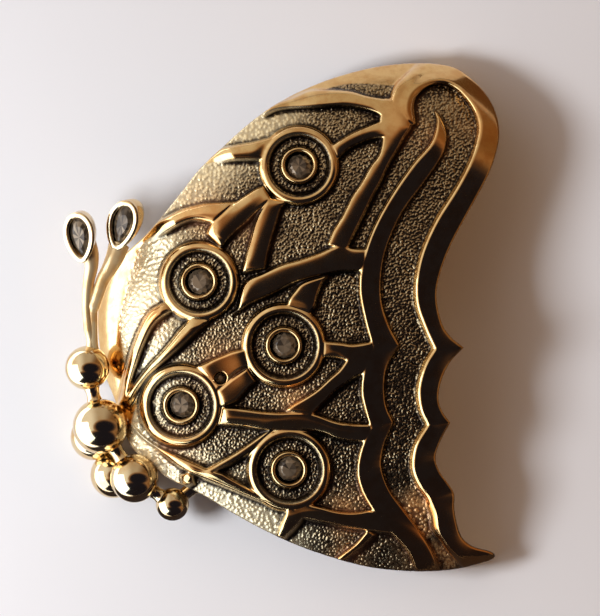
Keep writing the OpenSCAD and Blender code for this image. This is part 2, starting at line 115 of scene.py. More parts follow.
# The tops of the veins: percent points along the upper or left edge of each, then along its other edge.
VEINS = (
    (((-9.3, 40.7), (-6.3, 42.3), (-2, 43.5), (2.5, 45), (8, 45.1), (12.7, 44.8), (16.7, 43.9), (22, 43.2)),
     ((-9.3, 40.3), (-4.8, 41.5), (2.7, 41.8), (10.5, 42), (15.2, 41.5), (19, 40.5), (21.2, 38.9))),
    (((7.7, 33.9), (12.5, 36.3), (16.7, 37.8), (20.2, 38.9), (23.2, 39.5)),
     ((9.2, 31.5), (12.1, 33.5), (15.2, 34.7), (18.2, 35.5), (21.2, 35.6), (24.7, 35.1))),
    (((21.2, 43.5), (23.2, 43.1), (24.7, 41.9), (26.5, 39.9), (27.5, 37.9), (26.5, 36.5)),
     ((19.7, 39.3), (20.2, 37.5), (20.7, 35.5), (22.7, 34.9), (24.7, 34.9), (25.7, 35.5))),
    (((20.7, 36.3), (19.7, 32.3), (17.5, 29.8), (15.2, 26.5), (12.8, 23.7), (10.5, 20), (8.2, 16.9),
      (6.7, 14.1)),
     ((26.7, 37.1), (24.4, 33.5), (22.1, 30.4), (20.2, 27.1), (18, 23.9), (15.7, 20.1), (13.2, 16.1),
      (11.5, 13.3))),
    (((-15.5, 1.3), (-14.8, 4.3), (-13.8, 6.3), (-12, 7.5), (-9.3, 8.4), (-4.8, 10.1), (-0.3, 11.1),
      (4.2, 12.3), (7.7, 13.5), (10.5, 14.1), (12.7, 13.5), (16.2, 13.2)),
     ((-17.3, 0.3), (-12.3, 2.7), (-7.8, 4.3), (-4.8, 5.5), (-1.8, 6.7), (2.2, 7.7), (6.2, 8.4),
      (10.2, 9), (16.2, 9.1))),
    (((-3.3, 1.9), (-2.7, 3.5), (-1.2, 5.1), (0.2, 6.3), (2.5, 7.1), (6.2, 7.9)),
     ((2.2, 0.7), (3.5, 1.9), (4, 3.6), (4.7, 5.3), (5.5, 6.7), (6.5, 7.8))),
    (((5.7, -5.1), (10.2, -5.4), (13.2, -5.7), (18.2, -5.1)),
     ((5.7, -8.1), (8.5, -8.3), (11.5, -8.9), (14.2, -9.1), (18.7, -8.9))),
    (((11.7, -8.5), (9.6, -10.8), (7.2, -12.5), (4.2, -14.7), (1.2, -16.3), (-1.8, -17.7), (-3.8, -18.9)),
     ((17, -8.7), (16.9, -10.9), (14.1, -11.9), (11.7, -13.1), (8.7, -14.8), (6.6, -16.5), (4.7, -18),
      (2.7, -19.7))),
    (((-19.3, -18.3), (-14.8, -18.5), (-9.8, -19.1), (-5.8, -19.3), (-1.5, -19.3), (3.5, -19.6),
      (8.5, -21), (12.2, -21.5), (17.7, -21.7)),
     ((-20.3, -21.7), (-14.8, -22), (-9.8, -22.6), (-3.8, -22.8), (2, -22.7), (5.7, -23.3), (8.5, -24.3),
      (12.2, -24.8), (17.7, -25.1))),
    (((-25.8, -10.1), (-23.8, -9.5), (-21.8, -8.7), (-19.3, -7.9), (-16.8, -7.1), (-13.6, -6.6)),
     ((-24.8, -11.3), (-22.8, -13.1), (-21.3, -15.3), (-20, -14.3), (-18.8, -13.5), (-16.8, -11.7),
      (-15.3, -10.8), (-13.3, -10))),
    (((-21.8, -15.5), (-19.8, -14.4), (-17, -12.5), (-13.3, -10.5)),
     ((-22.2, -18.6), (-19.3, -18), (-15.9, -16.8), (-13.8, -14.9), (-11.3, -12.9))),
    (((-9.3, 25.9), (-11.1, 25.3), (-13.8, 23.9), (-16.4, 22.5), (-19.5, 20.3), (-22.3, 18.3),
      (-23.5, 16.3)),
     ((-7.3, 23.3), (-8.8, 22.3), (-11.3, 20.7), (-13.5, 18.9), (-16.5, 16.7), (-19.9, 13.7))),
    (((-7.8, 23.5), (-10, 20.7), (-11.3, 18.3), (-12.3, 15.5), (-13.3, 12.7), (-14.5, 8.7)),
     ((-3.8, 22.7), (-5, 21.4), (-6, 18.7), (-7, 16.1), (-8, 13.1), (-9, 9.5))),
    (((-40, 14.5), (-37, 17.9), (-33.8, 19.5), (-30.4, 20.9), (-27.3, 21.7), (-24, 22.3), (-20.5, 22.5),
      (-16.5, 22.7)),
     ((-40, 14.1), (-37.3, 15.5), (-33.5, 16.9), (-30.5, 18.1), (-27.5, 19), (-24.8, 18.9), (-21.8, 18.5))),
    (((-23.8, 30.1), (-22.3, 31.7), (-19.9, 33.3), (-16.3, 34), (-12.5, 34.5), (-9.3, 35.1), (-6.8, 35.7)),
     ((-23.8, 29.9), (-21, 30.7), (-17.8, 31.1), (-14.3, 31.2), (-9.3, 31.2))),
    (((-33.8, 2.7), (-35.6, 1.9), (-37.5, 0.9), (-39, -0.7), (-40.8, -3.7), (-42.3, -6.9), (-43.3, -10.1),
      (-44.3, -13.1), (-45.3, -17.3)),
     ((-32.3, 1.1), (-34, 0.1), (-35.9, -1.1), (-37.6, -2.9), (-39.5, -6.1), (-41, -9.3), (-42.3, -12.3),
      (-43.8, -17.3))),
    (((-27.3, -0.5), (-28.6, -1.5), (-30.4, -3.1), (-32.3, -5.1), (-35, -7.7), (-37.6, -9.9),
      (-41, -13.3), (-44.5, -17.1)),
     ((-22.8, -0.9), (-24, -1.9), (-26.5, -3.7), (-29, -5.5), (-33.5, -8.5), (-38.3, -11.7),
      (-40.8, -14.5), (-43, -17.7))),
    (((-42.3, -21.7), (-41.1, -23), (-38.5, -24.9), (-35.8, -26.3), (-32.8, -27.4), (-29.8, -28.3),
      (-26.3, -29.5), (-23, -30.7), (-19.3, -31.5)),
     ((-42.3, -21.9), (-39.5, -24.2), (-36.3, -26.1), (-33.3, -28.3), (-29.8, -30.4), (-24.8, -32.3),
      (-19.8, -33.9), (-14.8, -35.5), (-9.8, -37.1), (-4, -38.7))),
    (((-24.3, -30.9), (-22.8, -30.3), (-19.8, -29), (-16.5, -27.5), (-13, -25.7), (-9.8, -23.9),
      (-7.3, -22.7)),
     ((-23.3, -31.7), (-22, -31.2), (-18.5, -29.9), (-14.8, -28.3), (-11.3, -26.5))),
    (((-0.8, -37.3), (2.2, -37.7), (5.5, -38.3), (8.7, -39), (12, -39.3), (14.7, -39.2), (17.7, -38.9),
      (21.2, -40.1)),
     ((-2.8, -40.3), (0.2, -40.4), (3.2, -40.9), (7, -41.5), (11, -42.2), (15.2, -42.7), (19.2, -43.2),
      (24.2, -43.7))),
    (((-3.3, -38.1), (-3.8, -39.9), (-4.8, -41.7), (-6, -44.3)),
     ((1.5, -39.3), (0.2, -40.9), (-1.5, -42.5), (-4.3, -44.7))),
    (((8, -49.5), (9, -48.7), (10.7, -47.6), (12.5, -46.5), (14.2, -45.3), (16.7, -42.9)),
     ((8.7, -49.7), (11.2, -48.9), (13.7, -47.3), (15.7, -46.1), (18.7, -43.7))),
    (((-29.8, -32), (-28.2, -31.4), (-26.8, -32)),
     ((-29.6, -33.4), (-28.2, -34), (-26.8, -33.5))),
)
# Eye rings: percent of the width, percent of the length, share of the largest ring's radius.
RINGS = ((-0.3, 30.0, 0.95), (-25.3, 6.8, 0.95), (-4.1, -6.0, 1.0), (-29.8, -18.0, 0.99), (-2.8, -30.8, 1.0))
# The small hole through the wing, and where the dome's axis meets the plan.
HOLE_AT = (-19.9, -12.5)
DOME_AT = (13.7, -1.15)
# Painted warm reflections in coppery colours: percent of the width, percent of the length, reach in mm,
# strength.
WARM_REFLECTION_SPOTS = (
    (-19.5, -10.5, 2.2, 0.75), (-24.0, 20.6, 2.2, 0.6), (-37.0, -1.0, 1.3, 0.7), (-33.0, -27.5, 2.2, 0.5),
    (31.0, -45.0, 2.6, 1.0), (44.5, -49.0, 2.2, 0.8), (12.5, -36.5, 1.8, 0.9), (-0.5, -17.0, 1.8, 0.7),
    (47.5, 40.0, 2.6, 0.5), (26.0, 39.0, 2.0, 0.4), (33.0, 35.0, 1.4, 0.5), (-12.0, 17.0, 2.0, 0.4),
    (12.0, -46.0, 2.2, 0.75), (29.5, -38.5, 2.2, 0.9), (47.0, 45.0, 2.0, 0.6), (36.5, -47.6, 1.8, 0.9),
)
# Where patina and painted shade are thickest, inside the hook: percent of the width, percent of the length,
# reach in mm.
HOOK_SHADE_AND_PATINA = ((28.2, 40.3, 0.55), (29.0, 42.8, 0.6), (31.3, 44.7, 0.6), (34.6, 45.3, 0.55), (38.0, 44.7, 0.4))
# Places where the raised work differs from the rest, in the same columns.
HOOK_DIP = (26.4, 38.4, 0.8)  # the hook's face is lower
HOOK_BACK = (29.5, 42.5, 1.9)  # the border's inner side starts further out
BORDER_START = (31.5, 50.5, 1.5)  # here too
BROAD_CREST = (43.8, 39.0, 1.5)  # the border's inner side is broader
TAIL_SLOPE = (33.6, -40.8, 2.0)  # the border's inner side is a straight slope
TAIL_STIPPLE = (28.0, -42.5, 3.2)  # the stipple is coarse
CALM_MEETING = (-18.5, -11.5, 2.8)  # veins meet at the small hole, with flat tops
# Veins' ends at the left edge: percent of the width, percent of the length, the ramp's length in mm.
VEIN_TIPS = ((-31.5, 19.0, 2.7), (-17.5, 33.0, 1.8))
# Ellipses within which the edge rolls down: percent of the width and length, half axes in mm.
LEFT_ROLL = (-50.5, -2.0, 9.0, 10.5)
TOP_ROLL = (15.0, 50.0, 9.6, 9.0)
# Antenna stems: percent of the width, percent of the length, share of the climb, share of the diameter.
LEFT_STEM = (
    (-52.3, -8.6, 0, 1.5), (-52.2, -5.1, 0.1, 1.0), (-52.9, -2.4, 0.25, 0.97), (-53.3, 2.5, 0.42, 0.97),
    (-52.9, 6.6, 0.6, 1.1), (-52.2, 9.9, 0.78, 1.3), (-52.6, 12.2, 0.82, 1.75), (-53.6, 14.4, 0.68, 2.0),
)
RIGHT_STEM = (
    (-51.8, -8.6, 0, 1.5), (-51.9, -5.4, 0.1, 1.0), (-51.9, 0.2, 0.33, 0.92), (-51.8, 1.2, 0.4, 0.95),
    (-51.6, 1.9, 0.44, 1.15), (-51.0, 3.3, 0.52, 1.12), (-49.4, 7.1, 0.68, 1.25), (-47.9, 9.2, 0.76, 1.45),
    (-46.4, 11.6, 0.84, 1.75), (-45.3, 14.2, 0.7, 2.0),
)
# Pear settings: percent of the width, percent of the length, turn in degrees.
LEFT_PEAR = (-55.2, 15.6, 8)
RIGHT_PEAR = (-44.6, 18.0, -14)


def smooth(low: float, high: float, value: np.ndarray) -> np.ndarray:
    """Smoothstep: 0 below low, 1 above high and 3t^2 - 2t^3 between them."""
    t = np.clip((value - low) / (high - low), 0, 1)
    return t * t * (3 - 2 * t)


def soft_min(a: np.ndarray, b: np.ndarray, blend: float) -> np.ndarray:
    """The smaller of two surfaces, with a parabolic fillet of width blend where they cross."""
    t = np.clip(0.5 + 0.5 * (b - a) / blend, 0, 1)
    return b + (a - b) * t - blend * t * (1 - t)


@dataclass
class Plan:
    """The wing's plan in millimetres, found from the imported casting's box.

    Attributes:
        low: lowest corner of the casting, in mm.
        high: highest corner of the casting, in mm.
        steps: how many points each row of a closed table becomes.
    """

    low: np.ndarray
    high: np.ndarray
    steps: int = 4

    def __post_init__(self) -> None:
        """Works out the scale and the origin of the percent tables."""
        raw = self.curve_percent(OUTLINE)
        top, foot, right = raw[:, 1].max(), raw[:, 1].min(), raw[:, 0].max()
        self.length = (self.high[1] - self.low[1]) / (top - foot) * 100
        self.width = self.length * WIDTH_TO_LENGTH
        self.scale = np.array([self.width, self.length]) / 100
        self.origin = self.high[:2] - np.array([right, top]) * self.scale

    def curve_percent(self, table: tuple, closed: bool = True) -> np.ndarray:
        """A Hermite curve through a table, with corners kept sharp, in percent.

        Args:
            table: rows of x, y and an optional corner mark.
            closed: whether the last row joins the first.

        Returns:
            Points along the curve, n by 2.
        """
        rows = np.array([row[:2] for row in table], float)
        corner = np.array([len(row) > 2 for row in table])[:, None]
        back, ahead = rows - np.roll(rows, 1, 0), np.roll(rows, -1, 0) - rows
        if not closed:
            back[0], ahead[-1] = ahead[0], back[-1]
        leave = np.where(corner, ahead, (ahead + back) / 2)
        reach = np.where(corner, back, (ahead + back) / 2)
        last = len(rows) if closed else len(rows) - 1
        start, end = np.arange(last), (np.arange(last) + 1) % len(rows)
        t = (np.arange(self.steps) / self.steps)[None, :, None]
        share = 3 * t**2 - 2 * t**3
        curve = (rows[start][:, None] * (1 - share) + rows[end][:, None] * share
                 + leave[start][:, None] * (t - 2 * t**2 + t**3) + reach[end][:, None] * (t**3 - t**2))
        curve = curve.reshape(-1, 2)
        return curve if closed else np.vstack([curve, rows[-1:]])

    def curve(self, table: tuple, closed: bool = True) -> np.ndarray:
        """The table's curve in millimetres of the row frame."""
        return self.spot(self.curve_percent(table, closed))

    def spot(self, point: Any) -> np.ndarray:
        """A percent point, or many, in millimetres of the row frame."""
        return np.asarray(point, float)[..., :2] * self.scale + self.origin

    def fade(self, xy: np.ndarray, axis: int, start: float, end: float) -> np.ndarray:
        """Smoothstep along one axis: 0 up to the start percent and 1 from the end percent on."""
        low, high = (percent * self.scale[axis] + self.origin[axis] for percent in (start, end))
        return smooth(low, high, xy[:, axis])


def nearest_on_segments(points: np.ndarray, line: np.ndarray, closed: bool) -> tuple[np.ndarray, np.ndarray]:
    """Distance from each point to a polyline, and the nearest spot on it.

    The foot of the perpendicular on each side is kept between the side's ends, and the nearest foot wins.

    Args:
        points: n by 2 places.
        line: m by 2 corners.
        closed: whether the last corner joins the first.

    Returns:
        The n distances and the n by 2 nearest spots.
    """
    ends = np.roll(line, -1, 0) if closed else line[1:]
    starts = line if closed else line[:-1]
    best = np.full(len(points), np.inf)
    spot = np.zeros_like(points)
    for a, b in zip(starts, ends):
        run = b - a
        size = float(run @ run)
        if size == 0:
            continue
        t = np.clip(((points - a) @ run) / size, 0, 1)
        near = a + t[:, None] * run
        d = np.hypot(points[:, 0] - near[:, 0], points[:, 1] - near[:, 1])
        closer = d < best
        best[closer] = d[closer]
        spot[closer] = near[closer]
    return best, spot


def is_inside(points: np.ndarray, loop: np.ndarray) -> np.ndarray:
    """Even-odd rule: whether a ray along +X from each point crosses the loop an odd number of times."""
    x, y = points[:, 0], points[:, 1]
    odd = np.zeros(len(points), bool)
    for (ax, ay), (bx, by) in zip(loop, np.roll(loop, -1, 0)):
        if ay == by:
            continue
        crosses = (ay > y) != (by > y)
        odd ^= crosses & (x < (bx - ax) * (y - ay) / (by - ay) + ax)
    return odd


@dataclass
class Dome:
    """Two spheres that share an axis: the flat crown and the steeper margin.

    Attributes:
        centre: where the axis meets the plan, in mm.
        reach: how far the outline gets from the axis, in mm.
        top: height of the crown's ground, in mm.
        wall: thickness of the shell, in mm.
        drop: how far the hollow falls from its middle to where the spheres meet, in mm.
        land: how far below the table the hollow's sphere lies at the reach, in mm.
        share: how much of the reach the crown takes.
        fillet: height over which the two spheres blend, in mm.
        probe: step of the differences that give the slope, in mm.
    """

    centre: np.ndarray
    reach: float
    top: float
    wall: float = 2.0
    drop: float = 3.0
    land: float = 0.5
    share: float = 0.78
    fillet: float = 1.4
    probe: float = 0.01

    def __post_init__(self) -> None:
        """Finds both spheres from the crown's height, its drop and the land at the reach."""
        edge = self.share * self.reach
        self.crown_r = (edge**2 + self.drop**2) / (2 * self.drop)
        self.crown_z = self.top - self.wall - self.crown_r
        crease = self.top - self.wall - self.drop
        self.margin_z = (self.reach**2 + self.land**2 - edge**2 - crease**2) / (2 * (-self.land - crease))
        self.margin_r = math.hypot(edge, crease - self.margin_z)
        self.land_r = math.sqrt(self.margin_r**2 - self.margin_z**2)

    def height(self, xy: np.ndarray, lift: float) -> np.ndarray:
        """Height of the dome at each place, lifted from the hollow's surface along its normal.

        Args:
            xy: n by 2 places in mm.
            lift: how far above the hollow, in mm.

        Returns:
            The n heights in mm: the lower of the two spheres, filleted.
        """
        r2 = ((xy - self.centre) ** 2).sum(-1)
        crown = self.crown_z + np.sqrt(np.maximum((self.crown_r + lift) ** 2 - r2, 0))
        margin = self.margin_z + np.sqrt(np.maximum((self.margin_r + lift) ** 2 - r2, 0))
        return soft_min(crown, margin, self.fillet)

    def normal(self, xy: np.ndarray, lift: float) -> np.ndarray:
        """Unit normal of the lifted dome at one place, from central differences of its height."""
        ahead = self.height(xy + self.probe * np.eye(2), lift)
        behind = self.height(xy - self.probe * np.eye(2), lift)
        normal = np.append((behind - ahead) / (2 * self.probe), 1.0)
        return normal / np.linalg.norm(normal)


def lattice_hash(ix: np.ndarray, iy: np.ndarray, seed: float) -> np.ndarray:
    """A fixed number from 0 to 1 for each lattice cell: the fraction of a large sine."""
    wave = np.sin(ix * 127.1 + iy * 311.7 + seed * 74.7) * 43758.5453
    return wave - np.floor(wave)


def pebbles(xy: np.ndarray, size: float, seed: float) -> np.ndarray:
    """Stippled ground: one rounded grain of its own height in each jittered cell of a lattice.

    Args:
        xy: n by 2 places in mm.
        size: the cells' width in mm.
        seed: which pattern of jitter.

    Returns:
        Heights from 0 to 1: the highest grain over each place, falling as the square of the distance.
    """
    cell = np.floor(xy / size)
    best = np.zeros(len(xy))
    for ox in (-1, 0, 1):
        for oy in (-1, 0, 1):
            ix, iy = cell[:, 0] + ox, cell[:, 1] + oy
            jx = lattice_hash(ix, iy, seed)
            jy = lattice_hash(ix, iy, seed + 5)
            tall = 0.55 + 0.45 * lattice_hash(ix, iy, seed + 11)
            dx = xy[:, 0] / size - ix - jx
            dy = xy[:, 1] / size - iy - jy
            best = np.maximum(best, tall - 2.8 * (dx * dx + dy * dy))
    return np.clip(best, 0, 1)


def drift(xy: np.ndarray, size: float, seed: float) -> np.ndarray:
    """Smooth value noise from 0 to 1: lattice values joined by smoothsteps along both axes."""
    cell = np.floor(xy / size)
    t = smooth(0, 1, xy / size - cell)
    ix, iy = cell[:, 0], cell[:, 1]
    low = lattice_hash(ix, iy, seed) * (1 - t[:, 0]) + lattice_hash(ix + 1, iy, seed) * t[:, 0]
    high = lattice_hash(ix, iy + 1, seed) * (1 - t[:, 0]) + lattice_hash(ix + 1, iy + 1, seed) * t[:, 0]
    return low * (1 - t[:, 1]) + high * t[:, 1]


def blurred(values: np.ndarray, shape: tuple[int, int], reach: float) -> np.ndarray:
    """A grid's values blurred by a Gaussian along both axes.

    Args:
        values: one for each point of the grid.
        shape: rows and columns.
        reach: standard deviation in cells.

    Returns:
        Weighted means of shifted copies, the borders repeated.
    """
    half = int(math.ceil(3 * reach))
    weights = np.exp(-0.5 * (np.arange(-half, half + 1) / reach) ** 2)
    weights /= weights.sum()
    grid = values.reshape(shape)
    for axis in (0, 1):
        padded = np.pad(grid, [(half, half) if a == axis else (0, 0) for a in (0, 1)], mode="edge")
        grid = sum(w * np.take(padded, np.arange(k, k + shape[axis]), axis) for k, w in enumerate(weights))
    return grid.ravel()


@dataclass
class Grid:
    """The grid of places that the wing is worked out on.

    Attributes:
        xy: n by 2 places in mm.
        shape: rows and columns.
        cell: spacing in mm.
        edge: distance inside the outline, in mm.
    """

    xy: np.ndarray
    shape: tuple[int, int]
    cell: float
    edge: np.ndarray

    def blur(self, values: np.ndarray, size: float) -> np.ndarray:
        """Values blurred over a size in mm."""
        return blurred(values, self.shape, size / self.cell)

    def near(self, line: np.ndarray, margin: float) -> np.ndarray:
        """Which places lie in a line's box widened by a margin."""
        low, high = line.min(0) - margin, line.max(0) + margin
        return ((self.xy > low) & (self.xy < high)).all(1)


@dataclass
class Relief:
    """The raised work on the wing, as heights above the dome's ground.

    Attributes:
        plan: the wing's plan.
        height: of veins, rings and borders above the ground, in mm.
        crown: how much the veins' tops bulge, in mm.
        left_crown: how much they bulge towards the left edge, in mm.
        lean_shift: how far that bulge is moved against lean, in mm.
        steep_side: width of the veins' steep sides, in mm.
        flat_side: width of their flattest sides, in mm.
        shoulder: width over which their tops round over, in mm.
        crest_out: how far outside its line a crest's inner side starts, in mm.
        crest_ease: width over which that side rises, in mm.
        gentle_out: what crest_out gains on the lower half, in mm.
        gentle_ease: what crest_ease gains there, in mm.
        ridge_face: height of the ridge over the way from crest to foot, as a + bt + ct^2 shares.
        border_face: height of the border over the way from crest to outline, in the same form.
        tail_slope: where the border's slope above the tail starts outside its line, and its width, in mm.
        ring_r: radius of the largest ring, in mm.
        ring_foot: how far a ring's outer foot spreads past its radius, in mm.
        ring_crest: from that foot to the ring's crest, in mm.
        ring_band: width of a ring's band, in mm.
        collar_r: radius of the crest of the collar round a stone, in mm.
        collar_band: width of the collar, in mm.
        pit_r: radius of the pit that holds a stone, in mm.
        pit_depth: depth of the pit, in mm.
        edge_r: radius of the small round along the outline, in mm.
        roll_w: width of the rolled left edge, in mm.
        roll_ease: width over which that roll starts, in mm.
        roll_fall: how far it falls over the way in mm, as at + bt^2.
        top_w: width of the rolled top edge, in mm.
        top_fall: how far it falls over the way in mm, as at^2.
        grain: height of the stipple, in mm.
        grain_sizes: widths of the fine, the small and the coarse grains and of the drift over them, in mm.
        bare_vein: shares of the height between which a vein's side becomes bare.
        bare_ridge: the same for the ridge.
        bare_border: the same for the border.
        wear_and_light_from: distances from the left edge at which the worn stipple, painted lighter as the
            lit left side, starts and is full, in mm.
        lean: the direction in which the veins' sides lie flatter.
        tip_fall: the direction in which the veins' ends at the left edge fall.
    """

    plan: Plan
    height: float = 0.7
    crown: float = 0.30
    left_crown: float = 0.8
    lean_shift: float = 0.28
    steep_side: float = 0.14
    flat_side: float = 0.40
    shoulder: float = 0.16
    crest_out: float = 0.22
    crest_ease: float = 0.55
    gentle_out: float = 0.16
    gentle_ease: float = 0.15
    ridge_face: Triple = (1.14, -0.22, -0.48)
    border_face: Triple = (1.2, -0.42, -0.2)
    tail_slope: Pair = (0.72, 0.8)
    ring_r: float = 3.85
    ring_foot: float = 0.04
    ring_crest: float = 0.62
    ring_band: float = 1.2
    collar_r: float = 1.46
    collar_band: float = 0.66
    pit_r: float = 1.17
    pit_depth: float = 1.0
    edge_r: float = 0.16
    roll_w: float = 3.9
    roll_ease: float = 3.4
    roll_fall: Pair = (0.36, 0.03)
    top_w: float = 2.4
    top_fall: float = 0.15
    grain: float = 0.10
    grain_sizes: tuple[float, float, float, float] = (0.25, 0.2, 0.36, 0.9)
    bare_vein: Pair = (0.62, 0.86)
    bare_ridge: Pair = (0.1, 0.32)
    bare_border: Pair = (0.15, 0.4)
    wear_and_light_from: Pair = (4.6, 0.9)
    lean: Pair = (0.74, -0.67)
    tip_fall: Pair = (-0.88, -0.47)

    @staticmethod
    def rise(inside: np.ndarray, width: float | np.ndarray) -> np.ndarray:
        """Edge profile with a filleted foot: 0 outside, 1 at width inside and 1 - (1 - t)^1.9 between."""
        t = np.clip(inside / width, 0, 1)
        return smooth(0, 0.28, t) * (1 - (1 - t) ** 1.9)

    @staticmethod
    def face(form: Triple, across: np.ndarray) -> np.ndarray:
        """A crest's face as a parabola a + bt + ct^2 of the way across, from 0 to 1."""
        a, b, c = form
        return a + b * across + c * across**2

    def crest_side(self, inside: np.ndarray, gentle: np.ndarray, broad: Any = 0.0,
                   beyond: Any = 0.0) -> np.ndarray:
        """Shares of the height on a crest's inner side: the edge profile from a start outside its line.

        Args:
            inside: distance inside the crest's line, in mm.
            gentle: how much gentler the side is.
            broad: what its width gains, in mm.
            beyond: how much further out it starts, at the same shoulder, in mm.

        Returns:
            The shares.
        """
        start = self.crest_out + self.gentle_out * gentle + beyond
        width = self.crest_ease + self.gentle_ease * gentle + broad + beyond
        return self.rise(inside + start, width)

    def veins(self, grid: Grid) -> np.ndarray:
        """Shares of the full height for all veins.

        Each vein is the loop of its two edges. Outside the loop the side falls to the ground over a
        width that grows from steep_side to flat_side with the cosine between the way out and lean.
        """
        total = np.zeros(len(grid.xy))
        lean = np.array(self.lean)
        for upper, lower in VEINS:
            loop = np.vstack([self.plan.curve(upper, False), self.plan.curve(lower, False)[::-1]])
            box = grid.near(loop, self.flat_side + 0.1)
            here = grid.xy[box]
            near, spot = nearest_on_segments(here, loop, True)
            inner = is_inside(here, loop)
            out = np.where(inner, -1, 1)[:, None] * (here - spot) / np.maximum(near, 1e-6)[:, None]
            width = self.steep_side + (self.flat_side - self.steep_side) * np.clip(out @ lean, 0, 1)
            signed = np.where(inner, near, -near)
            share = self.rise(signed + width, width + self.shoulder)
            total[box] = np.maximum(total[box], share)
        return total

    def ridge(self, grid: Grid) -> np.ndarray:
        """The inner ridge: a crest on its left whose face falls away to its foot on the right."""
        crest = self.plan.curve(RIDGE_CREST, closed=False)
        foot = self.plan.curve(RIDGE_FOOT, closed=False)
        loop = np.vstack([crest, foot[:-1]])
        total = np.zeros(len(grid.xy))
        box = grid.near(loop, 0.4)
        here = grid.xy[box]
        near_crest = nearest_on_segments(here, crest, False)[0]
        near_foot = nearest_on_segments(here, foot, False)[0]
        sign = np.where(is_inside(here, loop), 1, -1)
        across = near_crest / np.maximum(near_crest + near_foot, 1e-6)
        face = self.face(self.ridge_face, across)
        share = self.crest_side(sign * near_crest, self.gentle(grid)[box])
        total[box] = self.height * face * share * self.rise(sign * near_foot + 0.06, 0.2)
        return total

    def border(self, grid: Grid) -> np.ndarray:
        """The outer border: a crest on its inner side whose face falls away to the outline.

        Above the tail its inner side is a straight slope, and behind its hook it starts further out.
        """
        loop = self.plan.curve(BORDER)
        near = nearest_on_segments(grid.xy, loop, True)[0]
        inside = np.where(is_inside(grid.xy, loop), near, -near)
        across = np.clip(inside, 0, None) / (np.clip(inside, 0, None) + np.maximum(grid.edge, 0) + 0.05)
        face = self.face(self.border_face, across) * (1 - 0.16 * self.around(grid, HOOK_DIP))
        broad = 0.2 * self.around(grid, BROAD_CREST)
        beyond = 0.55 * self.around(grid, HOOK_BACK) + 0.7 * self.around(grid, BORDER_START)
        share = self.crest_side(inside, self.gentle(grid), broad, beyond)
        ramp = smooth(0.25, 0.65, self.around(grid, TAIL_SLOPE))
        start, width = self.tail_slope
        share += ramp * (np.clip((inside + start) / width, 0, 1) - share)
        return self.height * face * share

    def gentle(self, grid: Grid) -> np.ndarray:
        """How much gentler the crests' inner sides are: not at all near the top, fully on the lower half."""
        return self.plan.fade(grid.xy, 1, 15, -5)

    def around(self, grid: Grid, row: tuple) -> np.ndarray:
        """A bell of the distance from a row's percent spot: 1 there, falling over the row's reach."""
        away = (grid.xy - self.plan.spot(row)) / row[2]
        return np.exp(-(away**2).sum(1))

    def rings(self, grid: Grid) -> tuple[np.ndarray, np.ndarray, np.ndarray, np.ndarray, np.ndarray]:
        """Rings and collars, each round on top between its crest and its two feet, and what they clear.

        Returns:
            Heights in mm, 1 where veins are cleared away, the depth of the stone pits, painted shade in a
            band just inside each ring, and where rings and collars are bare, which leaves their inner slopes
            dark as painted shade.
        """
        work, cleared, pit, inner_ring_shade, shine = (np.zeros(len(grid.xy)) for _ in range(5))
        for ring in RINGS:
            r = np.hypot(*(grid.xy - self.plan.spot(ring)).T)
            outer = ring[2] * self.ring_r + self.ring_foot
            inner = outer - self.ring_band
            crest = outer - self.ring_crest
            outwards, inwards = (r - crest) / self.ring_crest, (crest - r) / (crest - inner)
            band = np.clip(1 - np.maximum(outwards, inwards) ** 2, 0, 1)
            collar = np.clip(1 - (2 * (r - self.collar_r) / self.collar_band) ** 2, 0, 1)
            work = np.maximum(work, self.height * np.maximum(1.1 * band**0.62, 1.1 * collar**0.6))
            # Painted shade: a dark band just inside each ring's inner foot.
            inner_ring_shade = np.maximum(inner_ring_shade, smooth(inner - 0.3, inner - 0.1, r) * (r < inner + 0.1))
            cleared = np.maximum(cleared, 1 - smooth(crest - 0.05, crest + 0.1, r))
            pit = np.maximum(pit, 1 - smooth(self.pit_r - 0.1, self.pit_r + 0.04, r))
            # The ring's inner slope is kept out of the bare metal, so it takes the dark patina colour, which
            # here also stands for shade.
            shine = np.maximum.reduce([shine, smooth(0.15, 0.4, band) * smooth(inner + 0.3, inner + 0.46, r),
                                       smooth(0.3, 0.55, collar)])
        return work, cleared, pit * self.pit_depth, inner_ring_shade, shine

    def rolled(self, grid: Grid) -> tuple[np.ndarray, np.ndarray]:
        """How far each place belongs to the rolled left edge and to the rolled top edge."""
        left, top = (((grid.xy - self.plan.spot(row)) / row[2:]) ** 2 for row in (LEFT_ROLL, TOP_ROLL))
        return smooth(1.15, 0.15, left.sum(1)), smooth(1.0, 0.4, top.sum(1))

    def bands(self, grid: Grid) -> np.ndarray:
        """How bare of stipple each place is on the plain bands along the left and the top edge."""
        left, top = self.rolled(grid)
        widen = self.plan.fade(grid.xy, 1, -2, 9)
        narrow = self.plan.fade(grid.xy, 1, 15.5, 2.5)
        inner = (2.1 + 0.45 * widen) * np.minimum(1.4 * left, 1) * (0.2 + 0.8 * narrow)
        upper = 0.85 + 1.2 * self.plan.fade(grid.xy, 0, 8, 26)
        return np.maximum(smooth(inner + 0.2, inner - 0.2, grid.edge) * smooth(0.05, 0.3, left),
                          smooth(upper + 0.2, upper - 0.3, grid.edge) * top)

    def roll(self, grid: Grid) -> np.ndarray:
        """How far the surface rolls down at the outline.

        A small quarter round goes all the way round. A parabola of the distance is added from top_w inside
        the edge on the top. On the left a slope is added that starts over roll_ease about roll_w.
        """
        left, top = self.rolled(grid)
        gap = np.clip(self.edge_r - grid.edge, 0, self.edge_r)
        above = np.clip(self.top_w - np.maximum(grid.edge, 0), 0, None)
        wide = -soft_min(np.maximum(grid.edge, 0) - self.roll_w, np.zeros(1), self.roll_ease)
        slope, curve = self.roll_fall
        fall = np.maximum((slope * wide + curve * wide**2) * left, self.top_fall * above**2 * top)
        return self.edge_r - np.sqrt(np.maximum(self.edge_r**2 - gap**2, 0)) + fall

